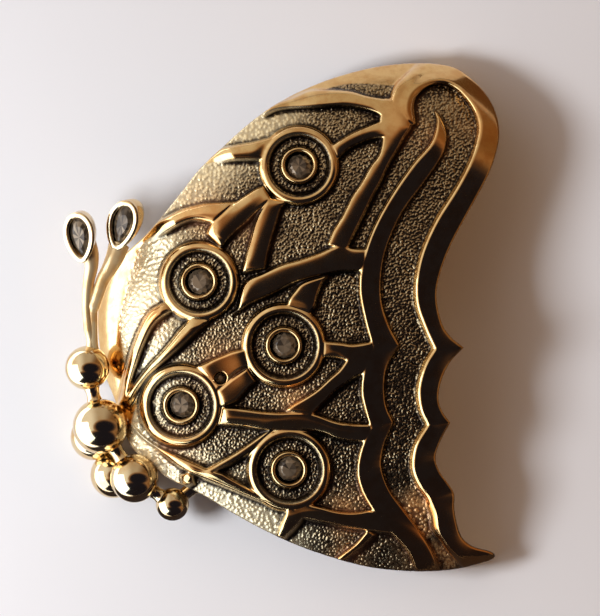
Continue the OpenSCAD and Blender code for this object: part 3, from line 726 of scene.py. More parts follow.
    def swell(self, grid: Grid, lines: np.ndarray, cleared: np.ndarray) -> np.ndarray:
        """How much the tops of the veins bulge, as their blurred cover.

        It is moved against lean, so tops fall with it. Towards the left it stays in place and grows, so
        the tops are round there. Beside the rings, and where veins meet at the small hole, it fades.
        """
        cover = grid.blur(lines, 0.42)
        left = self.plan.fade(grid.xy, 0, -8, -26)
        fallen = self.crown * (self.moved(grid, cover, -self.lean_shift) - 0.5)
        upright = self.left_crown * (cover - 0.5)
        calm = 1 - np.maximum(smooth(0.03, 0.4, grid.blur(cleared, 0.9)), self.around(grid, CALM_MEETING))
        return ((1 - left) * fallen + left * upright) * smooth(0.4, 1, lines) * calm

    def tips(self, grid: Grid) -> np.ndarray:
        """How high the veins' ends at the left edge stay: each falls in a straight ramp down and left."""
        share = np.ones(len(grid.xy))
        along = np.array(self.tip_fall)
        across = np.array((self.tip_fall[1], -self.tip_fall[0]))
        for x, y, length in VEIN_TIPS:
            away = grid.xy - self.plan.spot((x, y))
            gone = away @ along
            near = smooth(2.2, 1.6, np.abs(away @ across)) * smooth(length + 1.5, length + 1.0, gone)
            share = np.minimum(share, 1 - 0.92 * np.clip(gone / length, 0, 1) * near)
        return share

    def moved(self, grid: Grid, values: np.ndarray, distance: float) -> np.ndarray:
        """A grid's values moved along lean by a distance in mm."""
        across, up = (int(round(v * distance / grid.cell)) for v in self.lean)
        return np.roll(values.reshape(grid.shape), (up, across), (0, 1)).ravel()

    def surface(self, grid: Grid) -> tuple[np.ndarray, dict[str, np.ndarray]]:
        """Relief over the whole grid.

        Args:
            grid: the grid.

        Returns:
            Heights over the ground in mm, and the marks: polish where the metal is bare, kept off lower right
            sides as painted shade, grain as the stipple's own height, gloom for patina and painted shade at
            the foot of raised work, wear for worn stipple that is also painted lighter on the lit left side,
            and copper for painted warm reflections in coppery colours.
        """
        work, cleared, pit, inner_ring_shade, shine = self.rings(grid)
        lines = self.veins(grid) * (1 - cleared)
        ridge, border = self.ridge(grid), self.border(grid)
        tops = (lines * self.height + self.swell(grid, lines, cleared)) * self.tips(grid)
        raised = grid.blur(np.maximum.reduce([tops, ridge, border, work]), 0.07)
        polish = self.polish(grid, lines, ridge, border, shine)
        # Worn stipple along the left edge; in colour it is also painted light, the left side lighter where
        # the light falls.
        wear_and_light = np.maximum(0.9 * smooth(*self.wear_and_light_from, grid.edge) * self.plan.fade(grid.xy, 0, 8, -8),
                          self.rolled(grid)[0])
        tail = self.around(grid, TAIL_STIPPLE)
        stipple = self.stipple(grid, wear_and_light, tail)
        flat = 1 - smooth(0.04, 0.2, raised / self.height)
        rough = (1 - polish) * flat * smooth(0, 0.2, grid.edge)
        height = raised + self.grain * (1 - 0.4 * wear_and_light + 0.6 * tail) * stipple * rough - pit
        return height, {
            "polish": polish,
            "grain": stipple * (0.35 + 0.65 * flat),
            "patina_and_shade": self.patina_and_shade(grid, raised, inner_ring_shade, polish),
            "wear_and_light": wear_and_light,
            "warm_reflection": np.maximum.reduce([row[3] * self.around(grid, row) for row in WARM_REFLECTION_SPOTS]),
        }

    def polish(self, grid: Grid, lines: np.ndarray, ridge: np.ndarray, border: np.ndarray,
               shine: np.ndarray) -> np.ndarray:
        """Where the metal is bare: on what stands high, drawn in from its side along lean as painted shade,
        and on the bands.

        Args:
            grid: the grid.
            lines: the veins' shares of the full height.
            ridge: the ridge's height in mm.
            border: the border's height in mm.
            shine: where rings and collars are bare.

        Returns:
            The share that is bare at each place.
        """
        bare = np.maximum.reduce([smooth(*self.bare_vein, lines),
                                  smooth(*self.bare_ridge, ridge / self.height),
                                  smooth(*self.bare_border, border / self.height)])
        # Painted shade: the lower right sides of raised work are left out of the bare metal and take the dark
        # recess colour.
        bare = np.minimum(bare, self.moved(grid, bare, -0.17))
        return np.maximum(grid.blur(np.maximum(bare, shine), 0.05), self.bands(grid))

    def patina_and_shade(self, grid: Grid, raised: np.ndarray, inner_ring_shade: np.ndarray, polish: np.ndarray) -> np.ndarray:
        """Patina and painted shade: under blurred raised work, most on its lower right, inside the rings and
        the hook.

        Args:
            grid: the grid.
            raised: height of the raised work in mm.
            inner_ring_shade: the painted shade just inside each ring.
            polish: where the metal is bare, which holds none.

        Returns:
            The share of patina and painted shade at each place.
        """
        shade = grid.blur(raised, 0.27)
        # Painted shade: moved along lean, the blur darkens the lower right side of raised work most.
        shade = np.maximum(shade, self.moved(grid, shade, 0.2))
        # Painted shade and patina in the crescent inside the hook.
        hook_shade_and_patina = np.maximum.reduce([self.around(grid, row) for row in HOOK_SHADE_AND_PATINA])
        foot = smooth(0.06, 0.34, (shade - raised) / self.height)
        return np.maximum.reduce([foot, 0.85 * inner_ring_shade, hook_shade_and_patina]) * (1 - polish)

    def stipple(self, grid: Grid, wear_and_light: np.ndarray, tail: np.ndarray) -> np.ndarray:
        """The stipple's own height from 0 to 1: fine grains, coarse ones where it is worn and at the tail."""
        fine_w, small_w, coarse_w, drift_w = self.grain_sizes
        fine = np.maximum(pebbles(grid.xy, fine_w, 1), 0.55 * pebbles(grid.xy, small_w, 2))
        coarse = np.maximum(wear_and_light, smooth(0.3, 0.8, tail))
        grains = fine + coarse * (pebbles(grid.xy, coarse_w, 4) - fine)
        return grains * (0.75 + 0.5 * drift(grid.xy, drift_w, 3))


@dataclass
class Mesh:
    """Arrays of one piece's mesh, in millimetres.

    Attributes:
        points: n by 3 places.
        faces: arrays of triangles or quads, each m by 3 or m by 4.
        marks: named values for each point; edges between two points of a crease are sharp.
    """

    points: np.ndarray
    faces: list[np.ndarray]
    marks: dict[str, np.ndarray] = field(default_factory=dict)

    def part(self, chosen: list[np.ndarray]) -> "Mesh":
        """The part of the mesh with the chosen faces alone, one mask for each array of faces."""
        faces = [f[c] for f, c in zip(self.faces, chosen)]
        used, where = np.unique(np.concatenate([f.ravel() for f in faces]), return_inverse=True)
        out, start = [], 0
        for f in faces:
            out.append(where[start:start + f.size].reshape(f.shape))
            start += f.size
        return Mesh(self.points[used], out, {k: v[used] for k, v in self.marks.items()})

    def joined(self, *others: "Mesh") -> "Mesh":
        """This mesh and others as one."""
        points, faces, start = [], [], 0
        for m in (self, *others):
            points.append(m.points)
            faces += [f + start for f in m.faces]
            start += len(m.points)
        return Mesh(np.vstack(points), faces)

    def build(self, name: str, flat: bool = False) -> bpy.types.Object:
        """Makes the Blender object at the origin, in metres.

        Args:
            name: the piece's name.
            flat: whether facets stay flat.

        Returns:
            The linked object.
        """
        mesh = bpy.data.meshes.new(name)
        faces = [f for f in self.faces if len(f)]
        counts = np.concatenate([np.full(len(f), f.shape[1]) for f in faces])
        corners = np.concatenate([f.ravel() for f in faces]).astype(np.int32)
        mesh.vertices.add(len(self.points))
        mesh.vertices.foreach_set("co", (self.points * MM).astype(np.float32).ravel())
        mesh.loops.add(len(corners))
        mesh.loops.foreach_set("vertex_index", corners)
        mesh.polygons.add(len(counts))
        mesh.polygons.foreach_set("loop_start", (np.cumsum(counts) - counts).astype(np.int32))
        mesh.update(calc_edges=True)
        mesh.polygons.foreach_set("use_smooth", np.full(len(counts), not flat))
        for key, values in self.marks.items():
            if key == "crease":
                ends = np.zeros(2 * len(mesh.edges), np.int32)
                mesh.edges.foreach_get("vertices", ends)
                sharp = (values[ends].reshape(-1, 2) > 0).all(1)
                mesh.attributes.new("sharp_edge", "BOOLEAN", "EDGE").data.foreach_set("value", sharp)
                continue
            layer = mesh.attributes.new(key, "FLOAT", "POINT")
            layer.data.foreach_set("value", values.astype(np.float32))
        mesh.update()
        return place_object(name, mesh)


def place_object(name: str, data: bpy.types.ID) -> bpy.types.Object:
    """An object for a mesh, a light or a camera, linked to the scene."""
    obj = bpy.data.objects.new(name, data)
    bpy.context.scene.collection.objects.link(obj)
    return obj


def circle(sides: int) -> np.ndarray:
    """Cosine and sine at equal angles all the way round, sides by 2."""
    a = np.linspace(0, 2 * math.pi, sides, endpoint=False)
    return np.column_stack([np.cos(a), np.sin(a)])


def loft(rows: np.ndarray) -> Mesh:
    """A skin over closed rows of points, from the first row to the last, closed by a point at each end.

    Args:
        rows: m by n by 3 places, each row a loop seen counter-clockwise from the end.

    Returns:
        The mesh, facing outwards.
    """
    m, n = rows.shape[:2]
    index = np.arange(m * n).reshape(m, n)
    ahead = np.roll(index, -1, 1)
    quads = np.stack([index[:-1], ahead[:-1], ahead[1:], index[1:]], -1).reshape(-1, 4)
    start = np.stack([np.full(n, m * n), ahead[0], index[0]], -1)
    end = np.stack([np.full(n, m * n + 1), index[-1], ahead[-1]], -1)
    points = np.vstack([rows.reshape(-1, 3), rows[0].mean(0), rows[-1].mean(0)])
    return Mesh(points, [quads, start, end])


def frame_along(axis: np.ndarray) -> tuple[np.ndarray, np.ndarray, np.ndarray]:
    """Two unit vectors across an axis, and the axis itself made a unit."""
    axis = axis / np.linalg.norm(axis)
    guide = np.array([0.0, 0.0, 1.0]) if abs(axis[2]) < 0.9 else np.array([0.0, 1.0, 0.0])
    side = np.cross(guide, axis)
    side /= np.linalg.norm(side)
    return side, np.cross(axis, side), axis


def turned(profile: np.ndarray, base: np.ndarray, axis: np.ndarray, sides: int) -> Mesh:
    """A profile of radius and height turned about an axis.

    Args:
        profile: m by 2, radius and height along the axis, from its start to its end.
        base: where height 0 lies, in mm.
        axis: the axis.
        sides: how many points go round.

    Returns:
        The mesh: base + r cos(a) side + r sin(a) up + h axis, closed at both ends.
    """
    side, up, axis = frame_along(axis)
    c = circle(sides)
    spokes = c[:, :1] * side + c[:, 1:] * up
    return loft(base + profile[:, 0, None, None] * spokes + profile[:, 1, None, None] * axis)


def swept(path: np.ndarray, radii: np.ndarray, sides: int) -> Mesh:
    """A round section carried along a path.

    Args:
        path: m by 3 places.
        radii: m radii.
        sides: how many points go round.

    Returns:
        The mesh: path + r cos(a) side + r sin(a) up, closed at both ends.
    """
    run = np.gradient(path, axis=0)
    run /= np.linalg.norm(run, axis=1)[:, None]
    side = np.cross(run, [0.0, 0.0, 1.0])
    side /= np.linalg.norm(side, axis=1)[:, None]
    up = np.cross(side, run)
    c = circle(sides)
    spokes = c[None, :, :1] * side[:, None] + c[None, :, 1:] * up[:, None]
    rows = path[:, None] + radii[:, None, None] * spokes
    return loft(rows[:, ::-1])


def smooth_path(knots: np.ndarray, count: int) -> np.ndarray:
    """A Catmull-Rom curve through rows of knots, resampled to count rows by its parameter."""
    padded = np.vstack([2 * knots[0] - knots[1], knots, 2 * knots[-1] - knots[-2]])
    u = np.linspace(0, len(knots) - 1 - 1e-9, count)
    i = u.astype(int)
    t = (u - i)[:, None]
    p0, p1, p2, p3 = padded[i], padded[i + 1], padded[i + 2], padded[i + 3]
    return 0.5 * (2 * p1 + (p2 - p0) * t + (2 * p0 - 5 * p1 + 4 * p2 - p3) * t**2
                  + (3 * p1 - p0 - 3 * p2 + p3) * t**3)


class Socket:
    """A node's output as a number in Python expressions, each of which adds a Math node."""

    def __init__(self, graph: "Graph", out: bpy.types.NodeSocket) -> None:
        """Keeps the graph and the output."""
        self.graph = graph
        self.out = out

    def _math(self, operation: str, *values: Any) -> "Socket":
        """One Math node with an operation on the given values."""
        return self.graph.node("Math", {"operation": operation}, dict(enumerate(values)))

    def __add__(self, other: Any) -> "Socket":
        """Sum."""
        return self._math("ADD", self, other)

    __radd__ = __add__

    def __mul__(self, other: Any) -> "Socket":
        """Product."""
        return self._math("MULTIPLY", self, other)

    __rmul__ = __mul__

    def __sub__(self, other: Any) -> "Socket":
        """Difference."""
        return self._math("SUBTRACT", self, other)

    def __rsub__(self, other: Any) -> "Socket":
        """Difference from a number."""
        return self._math("SUBTRACT", other, self)

    def __pow__(self, other: Any) -> "Socket":
        """Power."""
        return self._math("POWER", self, other)

    def most(self, other: Any) -> "Socket":
        """The larger value."""
        return self._math("MAXIMUM", self, other)

    def step(self, low: float, high: float) -> "Socket":
        """Smoothstep between low and high."""
        return self.graph.node("MapRange", {"interpolation_type": "SMOOTHSTEP"},
                               {"Value": self, "From Min": low, "From Max": high})


class Graph:
    """Builds the nodes of one material or world."""

    def __init__(self, tree: bpy.types.NodeTree) -> None:
        """Empties the tree."""
        self.tree = tree
        tree.nodes.clear()

    def node(self, kind: str, settings: dict | None = None, inputs: dict | None = None,
             output: int | str = 0) -> Socket:
        """Adds one node.

        Args:
            kind: its type, without the ShaderNode prefix.
            settings: its own settings, such as a Math node's operation, set first.
            inputs: values or Sockets by input name or place.
            output: which output is wanted.

        Returns:
            That output as a Socket.
        """
        n = self.tree.nodes.new("ShaderNode" + kind)
        for key, value in (settings or {}).items():
            setattr(n, key, value)
        for key, value in (inputs or {}).items():
            if isinstance(value, Socket):
                self.tree.links.new(value.out, n.inputs[key])
            else:
                n.inputs[key].default_value = (*value, 1) if isinstance(value, tuple) else value
        return Socket(self, n.outputs[output] if n.outputs else None)

    def mix(self, share: Any, low: Any, high: Any) -> Socket:
        """A colour between two colours."""
        return self.node("Mix", {"data_type": "RGBA"}, {0: share, 6: low, 7: high}, 2)

    def mark(self, key: str) -> Socket:
        """The value that the mesh's points hold under a name."""
        return self.node("Attribute", {"attribute_name": key}, output="Fac")

    def noise(self, scale: float, detail: float = 2.0, roughness: float = 0.5) -> Socket:
        """Fractal noise on Object coordinates, in metres."""
        return self.node("TexNoise", {}, {"Vector": self.node("TexCoord", output="Object"), "Scale": scale,
                                          "Detail": detail, "Roughness": roughness})

    def bump(self, height: Socket, strength: float, distance: float) -> Socket:
        """A normal tilted by a height, whose full range stands for a distance in metres."""
        return self.node("Bump", {}, {"Strength": strength, "Distance": distance, "Height": height})

    def end(self, shader: str, inputs: dict, output: str = "OutputMaterial") -> None:
        """Ends the tree in a shader with the given inputs."""
        self.node(output, {}, {"Surface": self.node(shader, {}, inputs)})


def new_material(name: str) -> tuple[bpy.types.Material, Graph]:
    """An empty material and the graph of its nodes."""
    material = bpy.data.materials.new(name)
    material.use_nodes = True
    return material, Graph(material.node_tree)


class Look(Enum):
    """The names of the finishes, on the brooch and under it."""

    CAST = "antique_cast_gold"
    BEAD = "polished_bead_gold"
    STEM = "satin_stem_gold"
    PIN = "satin_pin_gold"
    STONE = "foiled_clear_stone"
    FLOOR = "pale_table"


@dataclass(frozen=True)
class Finish:
    """A metal's colours and sheen.

    Attributes:
        bright: colour where it is polished.
        bead_gold: paler colour of the polished beads.
        worn: colour where the plating is thin.
        dark: colour of the patina in the recesses.
        stipple: colour of the grains' tops.
        worn_lit_low: colour between worn grains, painted light where light falls on the left.
        worn_lit_stipple: colour of the tops of worn grains, painted light where light falls on the left.
        warm_reflection: coppery colour of the painted warm reflections.
        warm_reflection_low: that painted colour between grains.
        sheen: roughness where it is polished.
        dull: roughness in the recesses.
        cloudy: how far noise changes the roughness of polished metal.
    """

    bright: Colour = (0.85, 0.575, 0.25)
    bead_gold: Colour = (0.79, 0.61, 0.35)
    worn: Colour = (0.72, 0.42, 0.16)
    dark: Colour = (0.045, 0.030, 0.021)
    stipple: Colour = (0.50, 0.36, 0.19)
    worn_lit_low: Colour = (0.66, 0.52, 0.31)
    worn_lit_stipple: Colour = (0.96, 0.77, 0.45)
    warm_reflection: Colour = (1.0, 0.46, 0.14)
    warm_reflection_low: Colour = (0.34, 0.13, 0.045)
    sheen: float = 0.13
    dull: float = 0.30
    cloudy: float = 0.06

    def cast(self) -> bpy.types.Material:
        """Antique gold with patina and painted shade in its recesses, painted light, painted warm reflections
        and glinting grains.
        """
        material, g = new_material(Look.CAST.value)
        polish, grain, patina_and_shade, wear_and_light, warm_reflection = map(g.mark, ("polish", "grain", "patina_and_shade", "wear_and_light", "warm_reflection"))
        cloud = g.noise(900, 3, 0.6)
        tarnish = g.noise(320, 2, 0.5)
        # Painted warm reflections: coppery colours mixed in at the listed spots, broken up by noise.
        bare = warm_reflection * tarnish.step(0.2, 0.6)
        gold = g.mix(bare, g.mix(cloud.step(0.35, 0.7), self.bright, self.worn), self.warm_reflection)
        # Painted shade, with the patina, takes the lighter colour off the grain tops.
        peak = (grain + (tarnish - 0.5) * 0.35 - patina_and_shade * 0.45).step(-0.05, 0.62)
        # Painted light: worn grains on the lit left side take much lighter colours, save under the painted
        # shade.
        worn_and_lit = wear_and_light * (1 - patina_and_shade)
        low = g.mix(bare * 0.8, g.mix(worn_and_lit, self.dark, self.worn_lit_low), self.warm_reflection_low)
        high = g.mix(bare * 0.7, g.mix(worn_and_lit, self.stipple, self.worn_lit_stipple), self.warm_reflection)
        recess = g.mix(peak, low, high)
        colour = g.mix(polish.step(0.35, 0.85), recess, gold)
        grainy = self.dull - peak * 0.1
        roughness = grainy + (self.sheen - grainy) * polish + (cloud - 0.5) * self.cloudy
        matt = (bare * 0.5).most(worn_and_lit * 0.45) * (1 - polish)
        fine = g.noise(9000, 2, 0.6)
        scratch = g.noise(2600, 4, 0.7)
        relief = fine * (1 - polish) * 0.7 + scratch * polish * 0.05
        g.end("BsdfPrincipled", {"Base Color": colour, "Metallic": 1 - matt, "Roughness": roughness,
                                 "Normal": g.bump(relief, 0.35, 0.00004)})
        return material

    def bead(self, name: str, dullness: float = 0.0, matt: float = 0.0) -> bpy.types.Material:
        """Plain gold with a trace of tarnish and fine scratches.

        Args:
            name: the material's name.
            dullness: how much rougher and darker than polished beads it is.
            matt: how much of it scatters light in place of mirroring it.

        Returns:
            The material.
        """
        material, g = new_material(name)
        cloud = g.noise(500, 3, 0.55)
        colour = g.mix(cloud.step(0.4, 0.8) + dullness * 1.5, self.bead_gold, self.worn)
        roughness = self.sheen * 0.85 + dullness + (cloud - 0.5) * self.cloudy
        scratch = g.noise(3000, 4, 0.7)
        g.end("BsdfPrincipled", {"Base Color": colour, "Metallic": 1.0 - matt, "Roughness": roughness,
                                 "Normal": g.bump(scratch, 0.12, 0.00003)})
        return material


@dataclass(frozen=True)
class StoneFinish:
    """Clear glass over a foil: grey facets, each with its own painted glint.

    Attributes:
        light: colour of the facets with the brightest painted glint.
        deep: colour of the facets with the darkest painted glint.
    """

    light: Colour = (0.26, 0.185, 0.115)
    deep: Colour = (0.06, 0.042, 0.028)

    def material(self) -> bpy.types.Material:
        """The stones' material."""
        material, g = new_material(Look.STONE.value)
        cloud = g.noise(1400, 2, 0.5)
        # Painted glints: the facets' fixed brightness picks a colour between deep and light.
        colour = g.mix((g.mark("facet_glint") + (cloud - 0.5) * 0.5).step(0.1, 0.95), self.deep, self.light)
        bump = g.bump(g.noise(2500, 3, 0.6), 0.15, 0.00003)
        g.end("BsdfPrincipled", {"Base Color": colour, "Metallic": 0.6, "Roughness": 0.3,
                                 "Coat Weight": 0.12, "Coat Roughness": 0.03, "Normal": bump})
        return material


def settle(obj: bpy.types.Object, material: bpy.types.Material, slot: str, *nodes: str) -> bpy.types.Object:
    """Dresses a piece, lets it ride on the brooch and hides the CAD nodes that it stands for.

    Args:
        obj: the piece.
        material: its finish.
        slot: a material slot's name; not used.
        nodes: CAD nodes that it replaces.

    Returns:
        The piece.
    """
    obj.data.materials.append(material)
    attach(obj, ROOT)
    if nodes:
        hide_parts(*nodes)
    log.info("%s: %d faces", obj.name, len(obj.data.polygons))
    return obj


@dataclass
class Wing:
    """The cast wing: a closed shell with relief on its face, a rim and a hollow back.

    Attributes:
        plan: the wing's plan.
        dome: its ground.
        relief: its raised work.
        cell: the grid's spacing in mm.
        spare: how many cells the grid has beyond the outline.
        hole_r: radius of the small hole at the face, in mm.
        hole_taper: how narrow it is behind, as a share of that radius.
        least_wall: thickness that the shell keeps everywhere, in mm.
        rim_rows: where the rim has its rows of points, as shares of its height.
        back_cell: spacing of points in the hollow back, in mm.
        land_points: how many points mark where the hollow meets the flat land.
        names: of the slices, from foot to top.
        back_marks: the finish of the rim and the back.
    """

    plan: Plan
    dome: Dome
    relief: Relief
    cell: float = 0.062
    spare: int = 6
    hole_r: float = 0.64
    hole_taper: float = 0.3
    least_wall: float = 0.25
    rim_rows: tuple[float, ...] = (0.35, 1.0)
    back_cell: float = 0.8
    land_points: int = 400
    names: tuple[str, ...] = ("wing_foot_part", "wing_lower_part", "wing_upper_part", "wing_top_part")
    back_marks: tuple[tuple[str, float], ...] = (
        ("polish", 0.6), ("grain", 0.5), ("patina_and_shade", 0.0), ("wear_and_light", 0.3), ("warm_reflection", 0.0),
    )

    def material_depth(self, xy: np.ndarray, hole_r: float) -> tuple[np.ndarray, np.ndarray, np.ndarray]:
        """How far each place lies inside the metal, counting the outline and the small hole.

        Args:
            xy: n by 2 places in mm.
            hole_r: the hole's radius in mm.

        Returns:
            Depth inside the metal, the nearest spot on its edge and the distance inside the outline.
        """
        loop = self.plan.curve(OUTLINE)
        near, spot = nearest_on_segments(xy, loop, True)
        edge = np.where(is_inside(xy, loop), near, -near)
        hole = self.plan.spot(HOLE_AT)
        away = xy - hole
        r = np.maximum(np.hypot(away[:, 0], away[:, 1]), 1e-9)
        by_hole = r - hole_r < edge
        depth = np.where(by_hole, r - hole_r, edge)
        spot = np.where(by_hole[:, None], hole + away / r[:, None] * hole_r, spot)
        return depth, spot, edge

    def grid(self) -> tuple[Grid, np.ndarray, np.ndarray]:
        """The grid over the plan, wider than the outline by a few cells.

        Returns:
            The grid, the depth inside the metal and the nearest spot on its edge.
        """
        loop = self.plan.curve(OUTLINE)
        low, high = loop.min(0) - self.spare * self.cell, loop.max(0) + self.spare * self.cell
        xs = np.arange(low[0], high[0], self.cell)
        ys = np.arange(low[1], high[1], self.cell)
        xy = np.stack(np.meshgrid(xs, ys), -1).reshape(-1, 2)
        depth, spot, edge = self.material_depth(xy, self.hole_r)
        return Grid(xy, (len(ys), len(xs)), self.cell, edge), depth, spot

    def shell(self) -> Mesh:
        """The whole closed shell: face, rim and hollow back.

        Square cells cover the face, and the outermost points are drawn onto the metal's edge.

        Returns:
            The mesh with its marks at each point.
        """
        grid, depth, spot = self.grid()
        height, marks = self.relief.surface(grid)
        roll = self.relief.roll(grid)
        kept = depth > -0.5 * self.cell
        moved = kept & (np.abs(depth) < 0.5 * self.cell)
        xy = np.where(moved[:, None], spot, grid.xy)[kept]
        faces = self._cells(kept, grid.shape)
        rim = self._rim_edges(faces)
        ring = np.unique(rim)
        xy[ring] = spot[kept][ring]
        top, under = self._heights(xy, height[kept], roll[kept])

        ring_of = np.full(len(xy), -1)
        ring_of[ring] = np.arange(len(ring))
        pairs = ring_of[rim]
        hole = self.plan.spot(HOLE_AT)
        at_hole = np.hypot(*(xy[ring] - hole).T) < 2 * self.hole_r
        points = [np.column_stack([xy, top])]
        count = len(xy)
        upper = ring
        for share in self.rim_rows:
            z = top[ring] * (1 - share) + under[ring] * share
            drawn_in = np.where(at_hole, (1 - self.hole_taper) * share, 0)[:, None]
            walk = xy[ring] + (hole - xy[ring]) * drawn_in
            points.append(np.column_stack([walk, z]))
            lower = count + np.arange(len(ring))
            a, b = pairs.T
            faces.append(np.stack([upper[b], upper[a], lower[a], lower[b]], -1))
            upper = lower
            count += len(ring)
        back_points, back_faces = self._back(walk, pairs)
        inner = back_points[len(ring):]
        points.append(np.column_stack([inner, self._hollow(inner)]))
        place = np.concatenate([upper, count + np.arange(len(inner))])
        faces.append(place[back_faces][:, ::-1])

        bare = np.concatenate([*[~at_hole] * len(self.rim_rows), np.ones(len(inner), bool)])
        marks = {key: np.concatenate([marks[key][kept], np.where(bare, value, 0)])
                 for key, value in self.back_marks}
        on_land = np.abs(np.hypot(*(inner - self.dome.centre).T) - self.dome.land_r) < 0.001
        marks["crease"] = np.concatenate([np.zeros(count - len(ring)), np.ones(len(ring)), on_land])
        return Mesh(np.vstack(points), faces, marks)

    def _hollow(self, xy: np.ndarray) -> np.ndarray:
        """Height of the hollow back: the unlifted dome, cut off flat by the table."""
        return np.maximum(self.dome.height(xy, 0.0), 0.0)

    def _heights(self, xy: np.ndarray, height: np.ndarray, roll: np.ndarray) -> tuple[np.ndarray, np.ndarray]:
        """Heights of the face and of the hollow: the ground plus the relief times the ground's own steepness.

        Args:
            xy: n by 2 places in mm.
            height: the relief there, in mm.
            roll: how far the surface rolls down, in mm.

        Returns:
            The face's heights and the hollow's.
        """
        lift = 0.5
        ground = self.dome.height(xy, self.dome.wall)
        steep = (self.dome.height(xy, self.dome.wall + lift) - ground) / lift
        under = self._hollow(xy)
        return np.maximum(ground + height * steep - roll, under + self.least_wall), under

    @staticmethod
    def _cells(kept: np.ndarray, shape: tuple[int, int]) -> list[np.ndarray]:
        """Quads over cells with four kept corners and triangles over those with three.

        Args:
            kept: which places of the grid are kept.
            shape: its rows and columns.

        Returns:
            The quads and the triangles, by the number of each kept place.
        """
        index = np.full(len(kept), -1)
        index[kept] = np.arange(kept.sum())
        index = index.reshape(shape)
        corners = np.stack([index[:-1, :-1], index[:-1, 1:], index[1:, 1:], index[1:, :-1]], -1)
        corners = corners.reshape(-1, 4)
        present = (corners >= 0).sum(1)
        partial = corners[present == 3]
        return [corners[present == 4], partial[partial >= 0].reshape(-1, 3)]

    @staticmethod
    def _rim_edges(faces: list[np.ndarray]) -> np.ndarray:
        """Directed edges that only one face has."""
        edges = np.vstack([np.stack([f, np.roll(f, -1, 1)], -1).reshape(-1, 2) for f in faces])
        size = int(edges.max()) + 1
        forward = edges[:, 0] * size + edges[:, 1]
        backward = edges[:, 1] * size + edges[:, 0]
        return edges[~np.isin(forward, backward)]

    def _back(self, ring: np.ndarray, edges: np.ndarray) -> tuple[np.ndarray, np.ndarray]:
        """Triangles that fill the hollow back, on the rim's own points and a coarser grid inside.

        A circle of points lies where the hollow meets the flat land that the brooch rests on.

        Args:
            ring: the rim's places, n by 2.
            edges: pairs of rim points.

        Returns:
            The places, rim first, and the triangles seen counter-clockwise from above.
        """
        low, high = ring.min(0), ring.max(0)
        steps = (np.arange(low[axis], high[axis], self.back_cell) for axis in (0, 1))
        grid = np.stack(np.meshgrid(*steps), -1).reshape(-1, 2)
        small = self.hole_r * self.hole_taper
        grid = grid[self.material_depth(grid, small)[0] > 0.45 * self.back_cell]
        away = np.hypot(*(grid - self.dome.centre).T) - self.dome.land_r
        grid = grid[np.abs(away) > 0.5 * self.back_cell]
        land = self.dome.centre + self.dome.land_r * circle(self.land_points)
        land = land[self.material_depth(land, small)[0] > 0.25 * self.back_cell]
        every = np.vstack([ring, grid, land])
        made = geometry.delaunay_2d_cdt([Vector(p) for p in every], edges.tolist(), [], 0, 1e-6)
        source = np.array([ids[0] if ids else -1 for ids in made[3]])
        triangles = source[np.array([f for f in made[2] if len(f) == 3])]
        triangles = triangles[(triangles >= 0).all(1)]
        inside = self.material_depth(every[triangles].mean(1), small)[0] > 0
        return every, triangles[inside]

    def build(self, material: bpy.types.Material) -> list[bpy.types.Object]:
        """Makes the shell in slices across its length, each well under the limit on triangles."""
        whole = self.shell()
        middles = [whole.points[f][:, :, 1].mean(1) for f in whole.faces]
        order = np.sort(np.concatenate(middles))
        slices = len(self.names)
        cuts = [order[len(order) * i // slices] for i in range(1, slices)]
        bounds = [-np.inf, *cuts, np.inf]
        made = []
        for name, low, high in zip(self.names, bounds[:-1], bounds[1:]):
            part = whole.part([(m >= low) & (m < high) for m in middles])
            made.append(settle(part.build(name), material, GOLD_SLOT, CAST))
        return made


